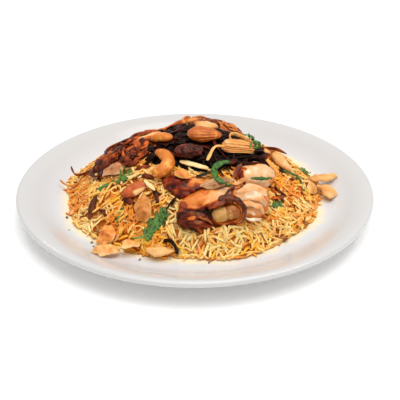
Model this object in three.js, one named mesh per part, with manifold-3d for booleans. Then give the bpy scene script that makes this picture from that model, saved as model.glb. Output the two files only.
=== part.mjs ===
// Chicken biryani served on a round white dinner plate.
//
// A mound of long-grain rice stands in the plate's well. A chicken thigh with its bone, two more pieces of chicken,
// heaps of fried onion, cashews, almonds and coriander lie on it. Millimetres, +Z up, the dish's front towards -Y.
// The origin is on the plate's axis, at the level of its foot.
import * as THREE from "three";
import { mergeVertices } from "three/addons/utils/BufferGeometryUtils.js";
import Module from "manifold-3d";

const wasm = await Module();
wasm.setup();

// ---------------------------------------------------------------------------------------------- driving dimensions

const GAP = 0.3; // left between two pieces that touch

const PLATE = {
  radius: 140,
  height: 21,
  floor: 8, // top of the well
  underside: 3.2, // height of the well's underside over the table
  wellRadius: 104,
  footInner: 79,
  footOuter: 85,
  segments: 40,
};

// The bare mound of rice: its height falls from the middle with this power of the share of the radius.
const MOUND = { x: 0, y: 7, radius: 97, height: 46, power: 2.2 };

const RICE = {
  edge: 2.4, // thickness where it thins out on the plate
  innerRadius: 27, // inside it the toppings hide the rice
  ringStep: 2.8, // a grain's width apart
  grainStep: 7.4, // between the ends of the grain-sized bumps
  bump: 1.1, // height of a bump, and depth of the dip beside it
  looseGrains: 18,
};

const GRAIN = { length: 10.5, width: 2.2 };

// Height over the bare mound of the undersides that are cut to it, just clear of the bumps.
const CLEAR = 1.8;

// ------------------------------------------------------------------------------------------------------ small tools

const rad = THREE.MathUtils.degToRad;

// Even numbers from 0 to 1 that are the same on every run.
function seeded(seed) {
  let state = seed;
  return () => {
    state = (state + 0x6d2b79f5) | 0;
    let t = Math.imul(state ^ (state >>> 15), 1 | state);
    t = (t + Math.imul(t ^ (t >>> 7), 61 | t)) ^ t;
    return ((t ^ (t >>> 14)) >>> 0) / 4294967296;
  };
}

// A hump of height 1 at angle 0 that fades out over the given width.
function hump(angle, width) {
  const wrapped = Math.atan2(Math.sin(angle), Math.cos(angle));
  return Math.exp(-((wrapped / width) ** 2));
}

function closed(geometry) {
  geometry.deleteAttribute("normal");
  geometry.deleteAttribute("uv");
  return mergeVertices(geometry, 1e-3);
}

// Moves each vertex by a function that changes the point it gets.
function reshape(geometry, change) {
  const position = geometry.getAttribute("position");
  const point = new THREE.Vector3();
  for (let i = 0; i < position.count; i++) {
    point.fromBufferAttribute(position, i);
    change(point);
    position.setXYZ(i, point.x, point.y, point.z);
  }
  return geometry;
}

function solidOf(geometry, matrix = new THREE.Matrix4()) {
  const moved = geometry.clone().applyMatrix4(matrix);
  return new wasm.Manifold(
    new wasm.Mesh({
      numProp: 3,
      vertProperties: new Float32Array(moved.getAttribute("position").array),
      triVerts: new Uint32Array(moved.index.array),
    }),
  );
}

function geometryOf(solid) {
  const mesh = solid.getMesh();
  const geometry = new THREE.BufferGeometry();
  geometry.setAttribute("position", new THREE.BufferAttribute(mesh.vertProperties, 3));
  geometry.setIndex(new THREE.BufferAttribute(mesh.triVerts, 1));
  return geometry;
}

// The largest body of a solid, without the scraps that a cut leaves.
function largest(solid) {
  return solid.decompose().reduce((a, b) => (a.volume() > b.volume() ? a : b));
}

// A solid grown by about the gap, as the join of its copies moved towards the corners of a tetrahedron.
function grown(solid) {
  const corners = [[1, 1, 1], [-1, -1, 1], [-1, 1, -1], [1, -1, -1]];
  const moved = corners.map((corner) => solid.translate(corner.map((c) => c * GAP)));
  return moved.reduce((sum, copy) => sum.add(copy));
}

// A closed skin over rings of points, from a first point to a last one. Rings may hold different numbers of points.
function skin(first, rings, last) {
  const points = [first, ...rings.flat(), last];
  const starts = rings.map((_, k) => 1 + rings.slice(0, k).flat().length);
  const triangles = [];
  const fan = (tip, start, count, outward) => {
    for (let i = 0; i < count; i++) {
      const edge = [start + i, start + ((i + 1) % count)];
      triangles.push(tip, ...(outward ? edge : edge.reverse()));
    }
  };
  fan(0, starts[0], rings[0].length, true);
  for (let k = 0; k + 1 < rings.length; k++) {
    const [m, n] = [rings[k].length, rings[k + 1].length];
    let [i, j] = [0, 0];
    while (i < m || j < n) {
      const a = starts[k] + (i % m);
      const b = starts[k + 1] + (j % n);
      const inner = j >= n || (i < m && (i + 1) / m < (j + 1) / n);
      triangles.push(a, b, inner ? starts[k] + ((i + 1) % m) : starts[k + 1] + ((j + 1) % n));
      if (inner) i++;
      else j++;
    }
  }
  fan(points.length - 1, starts.at(-1), rings.at(-1).length, false);
  const geometry = new THREE.BufferGeometry().setFromPoints(points);
  geometry.setIndex(triangles);
  return geometry;
}

// ------------------------------------------------------------------------------------------------------- the mound

function baseRadius(angle) {
  const wave = 0.018 * Math.sin(5 * angle + 1) + 0.012 * Math.sin(9 * angle);
  const left = 0.04 * hump(angle - rad(180), 0.6);
  const back = 0.07 * hump(angle - rad(45), 0.45) + 0.04 * hump(angle - rad(90), 0.6);
  return MOUND.radius * (1 + wave + left - back);
}

// Height of the bare mound over a point of the plate.
function moundHeight(x, y) {
  const [dx, dy] = [x - MOUND.x, y - MOUND.y];
  const share = Math.hypot(dx, dy) / baseRadius(Math.atan2(dy, dx));
  return PLATE.floor + MOUND.height * Math.max(0, 1 - share ** MOUND.power);
}

function moundNormal(x, y) {
  const step = 2;
  const slopeX = (moundHeight(x + step, y) - moundHeight(x - step, y)) / (2 * step);
  const slopeY = (moundHeight(x, y + step) - moundHeight(x, y - step)) / (2 * step);
  return new THREE.Vector3(-slopeX, -slopeY, 1).normalize();
}

// The point at a share of the mound's radius, raised over its bare surface.
function moundPoint(share, angle, lift = 0) {
  const r = share * baseRadius(angle);
  const [x, y] = [MOUND.x + r * Math.cos(angle), MOUND.y + r * Math.sin(angle)];
  return new THREE.Vector3(x, y, moundHeight(x, y) + lift);
}

// A place on the mound: the piece's own Z axis stands off the surface, and its X axis points to the yaw angle.
function onMound({ x, y, yaw = 0, roll = 0, pitch = 0, lift = 0 }) {
  const normal = moundNormal(x, y);
  const along = new THREE.Vector3(Math.cos(rad(yaw)), Math.sin(rad(yaw)), 0);
  along.addScaledVector(normal, -along.dot(normal)).normalize();
  const across = new THREE.Vector3().crossVectors(normal, along);
  const turn = new THREE.Quaternion().setFromRotationMatrix(
    new THREE.Matrix4().makeBasis(along, across, normal),
  );
  turn.multiply(new THREE.Quaternion().setFromEuler(new THREE.Euler(rad(roll), rad(pitch), 0)));
  const position = new THREE.Vector3(x, y, moundHeight(x, y)).addScaledVector(normal, lift);
  return { position, turn };
}

function matrixAt({ position, turn }) {
  return new THREE.Matrix4().compose(position, turn, new THREE.Vector3(1, 1, 1));
}

// ------------------------------------------------------------------------------------------------ shapes of pieces

// A ball of radius 1 whose poles lie on the X axis.
function ball(around, along) {
  return closed(new THREE.SphereGeometry(1, around, along)).rotateZ(Math.PI / 2);
}

// Makes a ball's ends along X fuller: power 2 keeps it round.
function blunt(point, power) {
  const round = Math.sqrt(Math.max(1e-6, 1 - point.x ** 2));
  const factor = Math.sqrt(Math.max(0, 1 - Math.abs(point.x) ** power)) / round;
  point.y *= factor;
  point.z *= factor;
}

function almond({ length, width, thick }) {
  return reshape(ball(8, 7), (p) => {
    const taper = 1 - 0.3 * p.x;
    p.set((p.x * length) / 2, (p.y * taper * width) / 2, (p.z * taper * thick) / 2);
  });
}

// A nut bent in its own plane, its back towards +Y and its tips towards -Y. Its length runs along the bend.
function cashew({ length, width, thick, bend }) {
  const radius = length / rad(bend);
  return reshape(ball(8, 9), (p) => {
    blunt(p, 3);
    const angle = (p.x * rad(bend)) / 2;
    const out = radius + ((p.y * width) / 2) * (1 + 0.14 * p.x);
    p.set(out * Math.sin(angle), out * Math.cos(angle) - radius, (p.z * thick) / 2);
  });
}

function sliver({ length, width, thick }) {
  return reshape(ball(6, 5), (p) => {
    blunt(p, 3);
    const rise = 0.6 * (1 - p.x ** 2);
    p.set((p.x * length) / 2, (p.y * width) / 2, (p.z * thick) / 2 + rise);
  });
}

// A thin domed piece with a wavy edge, such as a layer of onion or a flake of meat.
function petal({ length, width, thick }) {
  const dome = 0.25 * width;
  return reshape(ball(10, 6), (p) => {
    blunt(p, 2.6);
    const angle = Math.atan2(p.y, p.x);
    const edge = 1 + 0.1 * Math.sin(3 * angle + length) + 0.06 * Math.sin(5 * angle + width);
    const rise = dome * (1 - p.x ** 2 - 0.6 * p.y ** 2) + 0.6 * Math.sin(3 * p.x + 2 * p.y);
    p.set((p.x * edge * length) / 2, (p.y * edge * width) / 2, (p.z * thick) / 2 + rise);
  });
}

// A dried fruit, drawn in by deep folds along its length.
function raisin({ length, width, thick }) {
  return reshape(ball(12, 7), (p) => {
    const fold = 1 + 0.16 * Math.sin(6 * Math.atan2(p.z, p.y) + 3 * p.x);
    p.set((p.x * length) / 2, (p.y * fold * width) / 2, (p.z * fold * thick) / 2);
  });
}

// A toothed leaf in the XY plane on a short stalk, its tip towards +X, thin and wavy.
function leaf({ length, width, thick }) {
  const [stalk, halfStalk, lobes] = [0.25, 0.035, 5];
  const outline = [new THREE.Vector2(-stalk, halfStalk), new THREE.Vector2(-stalk, -halfStalk)];
  for (let i = 0; i <= lobes * 4; i++) {
    const angle = rad(-165 + (330 * i) / (lobes * 4));
    const tooth = [0.56, 0.86, 1, 0.8][i % 4];
    const reach = 0.52 * tooth * (0.84 + 0.16 * Math.cos(angle));
    outline.push(new THREE.Vector2(0.5 + reach * Math.cos(angle), reach * Math.sin(angle)));
  }
  const shape = new THREE.Shape(outline);
  const flat = closed(new THREE.ExtrudeGeometry(shape, { depth: thick, bevelEnabled: false }));
  const curl = 0.08 * length;
  return reshape(flat, (p) => {
    const wave = 0.6 * Math.sin(5 * p.x) + 1.6 * p.y ** 2 + 0.5 * Math.cos(9 * p.y + 2 * p.x);
    p.set((p.x - 0.45) * length, p.y * width, p.z + curl * wave);
  });
}

// A strip along a smooth path through points given as [x, y, height over the bare mound].
function strip(points, width, thick, steps = 6, sides = 4) {
  const path = new THREE.CatmullRomCurve3(
    points.map(([x, y, over]) => new THREE.Vector3(x, y, moundHeight(x, y) + over)),
  );
  const corners = Array.from({ length: sides }, (_, i) => {
    const angle = (2 * Math.PI * i) / sides;
    return new THREE.Vector2((thick / 2) * Math.cos(angle), (width / 2) * Math.sin(angle));
  });
  return closed(new THREE.ExtrudeGeometry(new THREE.Shape(corners), { steps, extrudePath: path }));
}

// One cooked grain, four-sided and slightly bent.
function grain(length, width, bow) {
  const ringAt = (x) =>
    [0, 1, 2, 3].map((i) => {
      const [c, s] = [Math.cos((Math.PI * i) / 2), Math.sin((Math.PI * i) / 2)];
      return new THREE.Vector3(x, bow + (width / 2) * c, (width / 2) * s);
    });
  const [tipX, ringX] = [length / 2, length * 0.28];
  const rings = [ringAt(ringX), ringAt(-ringX)];
  return skin(new THREE.Vector3(tipX, 0, 0), rings, new THREE.Vector3(-tipX, 0, 0));
}

// -------------------------------------------------------------------------------------------------------- the dish

const dish = new THREE.Group();
const placed = []; // the dish's pieces so far, each with its solid and its box

const FINISHES = {
  porcelain: { color: 0xefece8, roughness: 0.18 },
  rice: { color: 0xd9a55a, roughness: 0.55 },
  chicken: { color: 0xe0ac78, roughness: 0.4 },
  chickenSkin: { color: 0xb0602a, roughness: 0.35 },
  bone: { color: 0xb8935a, roughness: 0.45 },
  darkOnion: { color: 0x2c1410, roughness: 0.35 },
  redOnion: { color: 0x7a3216, roughness: 0.4 },
  goldOnion: { color: 0xd9964f, roughness: 0.4 },
  cashew: { color: 0xe49a45, roughness: 0.35 },
  paleNut: { color: 0xf2cf95, roughness: 0.45 },
  brownNut: { color: 0xc06a2c, roughness: 0.4 },
  leaf: { color: 0x3d6b2c, roughness: 0.5 },
};
const materials = Object.fromEntries(
  Object.entries(FINISHES).map(([name, look]) => {
    return [name, new THREE.MeshStandardMaterial({ ...look, metalness: 0, name })];
  }),
);

function addMesh(name, geometry, finish, place) {
  const mesh = new THREE.Mesh(geometry, materials[finish]);
  mesh.name = name;
  if (place) {
    mesh.position.copy(place.position);
    mesh.quaternion.copy(place.turn);
  }
  mesh.updateMatrix();
  dish.add(mesh);
  const solid = solidOf(geometry, mesh.matrix);
  placed.push({ name, mesh, solid, box: solid.boundingBox() });
}

function boxesMeet(a, b) {
  return [0, 1, 2].every((i) => a.min[i] < b.max[i] && b.min[i] < a.max[i]);
}

function meets(solid, others) {
  const box = solid.boundingBox();
  return others.some((o) => boxesMeet(box, o.box) && solid.intersect(o.solid).volume() > 1e-3);
}

// How far a solid is raised or lowered to lie just clear of what is in the dish.
function settling(solid) {
  let [low, high] = [-14, 26];
  for (let i = 0; i < 11; i++) {
    const middle = (low + high) / 2;
    if (meets(solid.translate([0, 0, middle]), placed)) low = middle;
    else high = middle;
  }
  return high + GAP;
}

// Lets a piece down onto what is in the dish.
function drop(name, geometry, finish, where) {
  const place = onMound(where);
  place.position.z += settling(solidOf(geometry, matrixAt(place)));
  addMesh(name, geometry, finish, place);
}

// Presses a piece that stands clear of the rice into its neighbours: what it would share with them is cut off it.
function press(name, solid, finish, skipped = []) {
  let cut = solid;
  for (const other of placed) {
    if (other.name === "rice" || skipped.includes(other.name)) continue;
    if (boxesMeet(cut.boundingBox(), other.box)) cut = cut.subtract(grown(other.solid));
  }
  addMesh(name, geometryOf(largest(cut)), finish);
}

// Joins small pieces onto a piece that is in the dish. Each comes as its solid, which must be partly sunk in the
// piece and stay clear of the ones before it, and as a fuller one, which must stay clear of all other pieces.
function fuse(name, pieces, most) {
  const piece = placed.find((p) => p.name === name);
  const others = placed.filter((p) => p !== piece);
  const kept = [];
  for (const { solid, fuller } of pieces) {
    if (kept.length === most) break;
    const sunk = solid.intersect(piece.solid).volume() > 0.1 * solid.volume();
    const crossed = kept.some((k) => solid.intersect(k).volume() > 0);
    if (!sunk || crossed || meets(fuller, others)) continue;
    kept.push(solid);
  }
  piece.solid = largest(kept.reduce((sum, solid) => sum.add(solid), piece.solid));
  piece.box = piece.solid.boundingBox();
  piece.mesh.geometry = geometryOf(piece.solid);
}

// ------------------------------------------------------------------------------------------------------- the plate

function plateGeometry() {
  const { radius, height, floor, underside, wellRadius, footInner, footOuter, segments } = PLATE;
  const profile = [
    [0, underside],
    [footInner - 1, underside],
    [footInner, 0],
    [footOuter, 0],
    [footOuter + 2, underside],
    [radius - 30, 6.6],
    [radius - 15, 11.4],
    [radius - 0.8, 16.8],
    [radius, 18.6],
    [radius - 1, 20.3],
    [radius - 3, height],
    [radius - 7, height - 0.8],
    [radius - 14, height - 3.4],
    [wellRadius + 15, 13.8],
    [wellRadius + 7, 9.8],
    [wellRadius, floor],
    [0, floor],
  ];
  const points = profile.map(([r, z]) => new THREE.Vector2(r, z));
  return closed(new THREE.LatheGeometry(points, segments)).rotateX(Math.PI / 2);
}

// --------------------------------------------------------------------------------------------------------- chicken

const THIGH = { x: 20, y: -60, yaw: 8, lift: 0 };
const LEG = { x: -2, y: -47, yaw: -6, lift: 0 };
const BREAST = { x: 46, y: -25, yaw: 22, lift: 0.5 };

// A lump with a slightly uneven surface, given its middle and its half lengths.
function lump([x, y, z], [a, b, c], turn = 0, tilt = 0) {
  const uneven = reshape(ball(9, 7), (p) => {
    p.multiplyScalar(1 + 0.05 * Math.sin(4 * p.x + 3 * p.y + a) + 0.04 * Math.sin(5 * p.z + 2 * p.x + b));
  });
  return solidOf(uneven.scale(a, b, c).rotateX(rad(tilt)).rotateZ(rad(turn)).translate(x, y, z));
}

// The thigh bone in the thigh's own frame: two knuckles at the end that shows, and the shaft, deep in the meat.
function boneSolid(more) {
  const half = (...sizes) => sizes.map((size) => size + more);
  return lump([-3, -9, 8], half(6.5, 6, 5))
    .add(lump([5, -8, 8.5], half(6, 6, 5)))
    .add(lump([3, 1, 4], half(4, 16, 3.6), -20));
}

function thighSolid() {
  const sleeve = lump([1, -5, 5], [16, 12, 12], 0, 20);
  const opening = lump([1, -11, 12], [11, 9, 8]);
  return lump([-2, 4, 0], [30, 13, 10], 4)
    .add(lump([21, 3, 2], [16, 14, 11], 12))
    .add(lump([-20, -7, 0], [15, 12, 8], -10))
    .add(lump([-14, 5, 2], [15, 9, 8], 20))
    .add(sleeve.subtract(opening))
    .subtract(boneSolid(GAP));
}

// A solid at its place on the mound, without the part that would be in the rice.
function sunkAt(place, solid) {
  return solid.transform(matrixAt(onMound(place)).elements).subtract(bareMound);
}

function legSolid() {
  return lump([2, 0, 0], [20, 11, 7]).add(lump([-10, 3, 2], [11, 9, 6]));
}

function breastSolid() {
  return lump([0, 0, 0], [17, 12.5, 8], 10).add(lump([-9, -3, 1], [8, 8, 6]));
}

// ---------------------------------------------------------------------------------------------------- fried onions

const HEAPS = [
  { name: "onions_dark", finish: "darkOnion", x: 8, y: -1, yaw: -4, length: 96, width: 64, rise: 4, strands: 10 },
  { name: "onions_red", finish: "redOnion", x: -51, y: 8, yaw: 14, length: 58, width: 40, rise: 3.5, strands: 12 },
  { name: "onions_back", finish: "redOnion", x: 11, y: 44, yaw: 0, length: 54, width: 38, rise: 4.5, strands: 6 },
];

const STRAND = { length: 22, width: 3.6, thick: 2.2, steps: 4, sides: 3 };

// The point of a heap's outline at a share of the way out from its middle.
function heapPoint({ x, y, yaw, length, width }, share, angle) {
  const edge = share * (1 + 0.08 * Math.sin(3 * angle + length) + 0.05 * Math.sin(7 * angle));
  const u = (edge * length * Math.cos(angle)) / 2;
  const v = (edge * width * Math.sin(angle)) / 2;
  const [c, s] = [Math.cos(rad(yaw)), Math.sin(rad(yaw))];
  return [x + u * c - v * s, y + u * s + v * c];
}

function heapTop(heap, share) {
  return CLEAR + 0.8 + heap.rise * Math.sqrt(Math.max(0, 1 - share ** 2));
}

function heapCore(heap) {
  const at = (share, angle, lift) => {
    const [x, y] = heapPoint(heap, share, angle);
    return new THREE.Vector3(x, y, moundHeight(x, y) + lift);
  };
  const ring = (share, lift) => {
    return Array.from({ length: 16 }, (_, i) => at(share, (2 * Math.PI * i) / 16, lift));
  };
  const top = [0.35, 0.68, 0.93].map((share) => ring(share, heapTop(heap, share)));
  const under = [0.93, 0.62, 0.31].map((share) => ring(share, CLEAR));
  return solidOf(skin(at(0, 0, heapTop(heap, 0)), [...top, ...under], at(0, 0, CLEAR)));
}

// Arched strands over a heap, more of them than it keeps.
function heapStrands(heap, seed) {
  const random = seeded(seed);
  return Array.from({ length: heap.strands * 9 }, (_, i) => {
    const share = 0.95 * Math.sqrt(random());
    const [x, y] = heapPoint(heap, share, i * 2.4 + 0.5 * random());
    const heading = 2 * Math.PI * random();
    const half = STRAND.length * (0.35 + 0.25 * random());
    const bow = half * (random() - 0.5);
    const arch = 2 + 2.4 * random();
    const path = [-1, -0.35, 0.35, 1].map((t) => {
      const [along, side] = [t * half, bow * (1 - t * t)];
      return [
        x + along * Math.cos(heading) - side * Math.sin(heading),
        y + along * Math.sin(heading) + side * Math.cos(heading),
        heapTop(heap, share) * (1 - 0.6 * t * t) + arch * (1 - t * t),
      ];
    });
    const { width, thick, steps, sides } = STRAND;
    return {
      solid: solidOf(strip(path, width, thick, steps, sides)),
      fuller: solidOf(strip(path, width + 2 * GAP, thick + 2 * GAP, steps, sides)),
    };
  });
}

// ------------------------------------------------------------------------------------------------------------ rice

// The mound as a closed body whose top is raised over the bare surface by a function of the ring and the place in it.
function moundBody(radii, step, liftAt) {
  const bottom = PLATE.floor + GAP;
  const ringAt = (radius, k) => {
    const count = Math.max(8, Math.round((2 * Math.PI * radius) / step));
    return Array.from({ length: count }, (_, i) => {
      const angle = (2 * Math.PI * (i + 0.25 * (k % 2))) / count;
      const point = moundPoint(radius / MOUND.radius, angle, liftAt(k, i));
      point.z = Math.max(point.z, bottom + RICE.edge);
      return point;
    });
  };
  const rings = radii.map(ringAt);
  const foot = rings.at(-1).map((p) => new THREE.Vector3(p.x, p.y, bottom));
  const middle = new THREE.Vector3(MOUND.x, MOUND.y, bottom);
  const inner = foot.filter((_, i) => i % 4 === 0).map((p) => p.clone().lerp(middle, 0.5));
  return skin(moundPoint(0, 0, liftAt(0, 0)), [...rings, foot, inner], middle);
}

// Rice too fine to be made grain by grain: rows of grain-sized bumps and dips, each with its own height.
function riceBed() {
  const random = seeded(5);
  const rows = Math.round((MOUND.radius - RICE.innerRadius) / RICE.ringStep);
  const rowRadii = Array.from({ length: rows + 1 }, (_, k) => {
    return RICE.innerRadius + ((MOUND.radius - RICE.innerRadius) * k) / rows;
  });
  return moundBody([RICE.innerRadius / 2, ...rowRadii], RICE.grainStep, (k, i) => {
    const side = (i + k) % 2 ? 1 : -1;
    return side * RICE.bump * (0.4 + 0.6 * random());
  });
}

// Grains that lie loose on the rice, spread evenly over it, more of them than it keeps.
function looseGrains() {
  const random = seeded(17);
  const golden = Math.PI * (3 - Math.sqrt(5));
  return Array.from({ length: RICE.looseGrains * 4 }, (_, i) => {
    const { x, y } = moundPoint(0.95 * Math.sqrt((i * golden) % 1), i * golden);
    const place = onMound({ x, y, yaw: 360 * random(), pitch: 16 * random() - 8, lift: 0.6 });
    const length = GRAIN.length * (0.85 + 0.3 * random());
    const bow = 0.5 * random();
    return {
      solid: solidOf(grain(length, GRAIN.width, bow), matrixAt(place)),
      fuller: solidOf(grain(length + 3 * GAP, GRAIN.width + 3 * GAP, bow), matrixAt(place)),
    };
  });
}

// -------------------------------------------------------------------------------------------------------- toppings

// Each row: name, finish, place over the plate, yaw from +X in degrees, length, width and thickness.
const FLAKES = [
  ["flake_left", "chicken", -61, -17, -24, 22, 13, 4],
  ["flake_mid", "chicken", -9, -43.5, -30, 14, 9, 3.4],
  ["petal_centre", "goldOnion", -37, -57, -94, 25, 14, 3],
  ["petal_front_left", "goldOnion", -64, -67, 75, 19, 16, 3],
  ["petal_front_edge", "goldOnion", -62, -87, 15, 20, 13, 3],
  ["petal_front_low", "goldOnion", -46.5, -83, 12, 15, 11, 2.6],
  ["petal_right", "goldOnion", 92, 3, 75, 18, 11, 3],
  ["onion_slice", "goldOnion", 17, -51, 22, 26, 9, 2.2],
  ["onion_dark_left", "redOnion", -77, -38, 62, 22, 6, 3],
];

const ALMONDS = [
  ["almond_top_brown", "brownNut", 7.5, -3.5, 2, 26, 17, 10],
  ["almond_top_pale", "paleNut", 9, 14, 10, 18, 13, 8],
  ["almond_gold", "goldOnion", 33.5, -11, 14, 28, 12, 6],
  ["almond_right", "paleNut", 68, 3, -25, 21, 13.5, 7],
  ["almond_front", "paleNut", -24, -88.5, 4, 20, 13, 7],
  ["almond_left", "brownNut", -44, -42, 18, 22, 12, 6],
  ["nut_small", "paleNut", 57, 10, 20, 9, 7, 4],
  ["almond_back", "brownNut", 27, 82, 150, 24, 14, 8],
];

const SLIVERS = [
  ["sliver_white", "paleNut", -0.5, -31, -22, 25, 5.6, 2.4],
  ["sliver_left", "paleNut", -33, -45, -58, 15, 4, 2.2],
  ["sliver_shoulder", "paleNut", -37, 12, 12, 24, 6, 3],
  ["sliver_brown", "brownNut", 66, 21, -32, 16, 6, 2.6],
  ["sliver_back", "paleNut", -4, 76, 25, 22, 5, 2.4],
];

const LEAVES = [
  ["coriander_front", "leaf", -31, -75, 40, 27, 16, 0.5],
  ["coriander_curl", "leaf", 20, -38, -60, 19, 15, 0.5],
  ["coriander_mid", "leaf", 49, -40, 20, 20, 9, 0.5],
  ["coriander_stem", "leaf", 74, -3, 15, 24, 8, 0.5],
  ["coriander_right", "leaf", 86, 17, 150, 12, 9, 0.5],
  ["coriander_shoulder", "leaf", 46, 0, -60, 13, 10, 0.5],
  ["coriander_top", "leaf", 42, 10, 10, 12, 9, 0.5],
  ["coriander_low_right", "leaf", 65, -43, 30, 11, 8, 0.5],
  ["coriander_left", "leaf", -69, -28, 175, 14, 7, 0.5],
  ["coriander_left_high", "leaf", -54.5, -34, -30, 15, 11, 0.5],
  ["coriander_sprig", "leaf", -53.5, -57, 62, 12, 6, 0.5],
  ["coriander_back", "leaf", -8, 80, 80, 20, 14, 0.5],
];

// The same, and the angle through which the nut bends.
const CASHEWS = [
  ["cashew_large", "cashew", -19, -32, -98, 36, 11.5, 10.5, 200],
  ["cashew_small", "cashew", -25, 1, -20, 19, 9, 7, 85],
  ["cashew_right_low", "paleNut", 106, 3, -70, 23, 12, 8, 110],
  ["cashew_right_high", "paleNut", 104, 20, 188, 25, 9, 7, 60],
  ["cashew_back", "cashew", -36, 80, 30, 29, 10, 9, 180],
];

// Each row: name, finish, width, thickness, and the path as [x, y, height over the bare mound].
const STRIPS = [
  ["onion_bent", "goldOnion", 3.8, 2, [[9, -33, 3], [12, -27, 4], [15, -21, 6], [23, -17, 5]]],
  ["onion_loop", "goldOnion", 4.4, 2, [[29, -4, 4], [26, 2, 6], [29, 8, 6], [39, 9, 4], [49, 4, 3]]],
  ["onion_gold_right", "goldOnion", 5, 2, [[54, -4, 2], [58, -10, 2], [64, -16, 2]]],
  ["onion_curl", "redOnion", 3.4, 2, [[-82, 11, 3], [-91, 15, 4], [-98, 20, 8], [-101, 25, 16]]],
  ["onion_tip", "goldOnion", 3.2, 1.8, [[-86, 5, 2], [-96, 8, 2.5], [-104, 12, 4], [-110, 17, 7]]],
  ["strip_brown", "redOnion", 5, 2, [[18, 23, 4], [28, 21, 4], [37, 17, 3]]],
  ["strip_red", "brownNut", 5, 2.2, [[44, 23, 4], [50, 20, 4], [57, 15, 3]]],
  ["onion_black_front", "darkOnion", 5, 2.6, [[-22.5, -81, 1], [-17.5, -81, 2], [-13.5, -85, 2], [-11.5, -90, 1]]],
  ["onion_dark_mid", "darkOnion", 4.6, 2, [[-24, -70, 1], [-20, -63, 2], [-15, -57, 2]]],
  ["onion_purple", "darkOnion", 5, 2.2, [[1, -43.5, 1], [7, -42, 1.5], [14, -39.5, 2]]],
];

function topping(shape, rows) {
  for (const [name, finish, x, y, yaw, length, width, thick, bend] of rows) {
    drop(name, shape({ length, width, thick, bend }), finish, { x, y, yaw });
  }
}

// ------------------------------------------------------------------------------------------------------- assembly

const bareMound = solidOf(moundBody([12, 24, 36, 48, 60, 72, 84, 97], 12, () => CLEAR));

addMesh("plate", plateGeometry(), "porcelain");
addMesh("rice", riceBed(), "rice");
press("chicken_thigh", sunkAt(THIGH, thighSolid()), "chickenSkin");
press("chicken_bone", sunkAt(THIGH, boneSolid(0)), "bone", ["chicken_thigh"]);
press("chicken_leg", sunkAt(LEG, legSolid()), "chickenSkin");
press("chicken_breast", sunkAt(BREAST, breastSolid()), "chicken");
for (const heap of HEAPS) press(heap.name, heapCore(heap), heap.finish);
drop("raisin", raisin({ length: 22, width: 13, thick: 9 }), "darkOnion", { x: -4.5, y: -23, yaw: 4 });
topping(almond, ALMONDS);
topping(cashew, CASHEWS);
topping(petal, FLAKES);
topping(sliver, SLIVERS);
for (const [name, finish, width, thick, path] of STRIPS) {
  const geometry = strip(path, width, thick);
  const position = new THREE.Vector3(0, 0, settling(solidOf(geometry)));
  addMesh(name, geometry, finish, { position, turn: new THREE.Quaternion() });
}
topping(leaf, LEAVES);
HEAPS.forEach((heap, i) => fuse(heap.name, heapStrands(heap, 11 + i), heap.strands));
fuse("rice", looseGrains(), RICE.looseGrains);

export default dish;
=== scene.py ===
"""The finished look of a plate of chicken biryani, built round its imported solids.

Each group of food has an operator that makes its pieces, and the panel in the sidebar lists them. Shapes are
worked out in millimetres in the part's own frame, and turned to metres when a mesh is made.
"""

import math

import bmesh
import bpy
import numpy as np
from mathutils import Matrix, Vector, noise
from mathutils.bvhtree import BVHTree


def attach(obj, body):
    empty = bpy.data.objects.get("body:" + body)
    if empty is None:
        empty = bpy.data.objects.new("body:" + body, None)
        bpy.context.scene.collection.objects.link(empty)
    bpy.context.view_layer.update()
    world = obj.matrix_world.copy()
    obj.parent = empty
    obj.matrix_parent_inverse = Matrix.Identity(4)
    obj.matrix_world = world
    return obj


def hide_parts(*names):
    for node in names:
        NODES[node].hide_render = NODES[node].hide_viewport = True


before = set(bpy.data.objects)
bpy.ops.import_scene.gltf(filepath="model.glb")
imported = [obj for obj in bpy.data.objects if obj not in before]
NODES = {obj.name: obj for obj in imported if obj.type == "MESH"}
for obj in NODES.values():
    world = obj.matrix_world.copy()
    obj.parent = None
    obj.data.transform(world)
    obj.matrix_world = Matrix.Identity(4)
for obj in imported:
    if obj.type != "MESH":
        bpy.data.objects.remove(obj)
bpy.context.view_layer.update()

bl_info = {
    "name": "Chicken Biryani Plate",
    "version": (1, 0, 0),
    "blender": (4, 5, 0),
    "location": "3D View > Sidebar > Biryani",
    "description": "Dresses a plate of chicken biryani with its rice, chicken, onions, nuts and herbs",
    "category": "Object",
}

MM = 0.001
TAU = 2 * math.pi

# ------------------------ the part's sizes

FLOOR_Z = 8.0  # top of the plate's well
GAP = 0.3  # height of the rice's underside over the well
CLEAR = 1.8  # height of the toppings' undersides over the bare mound
MOUND_X, MOUND_Y, MOUND_RADIUS, MOUND_HEIGHT, MOUND_POWER = 0.0, 7.0, 97.0, 46.0, 2.2

# The plate's half section as (radius, height, how far its corner is rounded).
PLATE_SECTION = [
    (0, 3.2, 0),
    (78, 3.2, 0.6),
    (79, 0, 0.7),
    (85, 0, 0.9),
    (87, 3.2, 2),
    (110, 6.6, 9),
    (125, 11.4, 8),
    (139.2, 16.8, 2),
    (140, 18.6, 1.2),
    (139, 20.3, 1.2),
    (137, 21, 2.2),
    (133, 20.2, 4),
    (126, 17.6, 4),
    (119, 13.8, 4.5),
    (111, 9.8, 4.5),
    (104, 8, 5),
    (0, 8, 0),
]

# Radii of more rings on the flats above and, but for the first, below, so that their faces stay small.
FLAT_RADII = (78, 52, 26)

# The heaps of fried onion: their middles, turns in degrees, lengths and widths, and rise over the rice.
HEAPS = {
    "onions_dark": dict(x=8, y=-1, yaw=-4, length=96, width=64, rise=4),
    "onions_red": dict(x=-51, y=8, yaw=14, length=58, width=40, rise=3.5),
    "onions_back": dict(x=11, y=44, yaw=0, length=54, width=38, rise=4.5),
}

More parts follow.
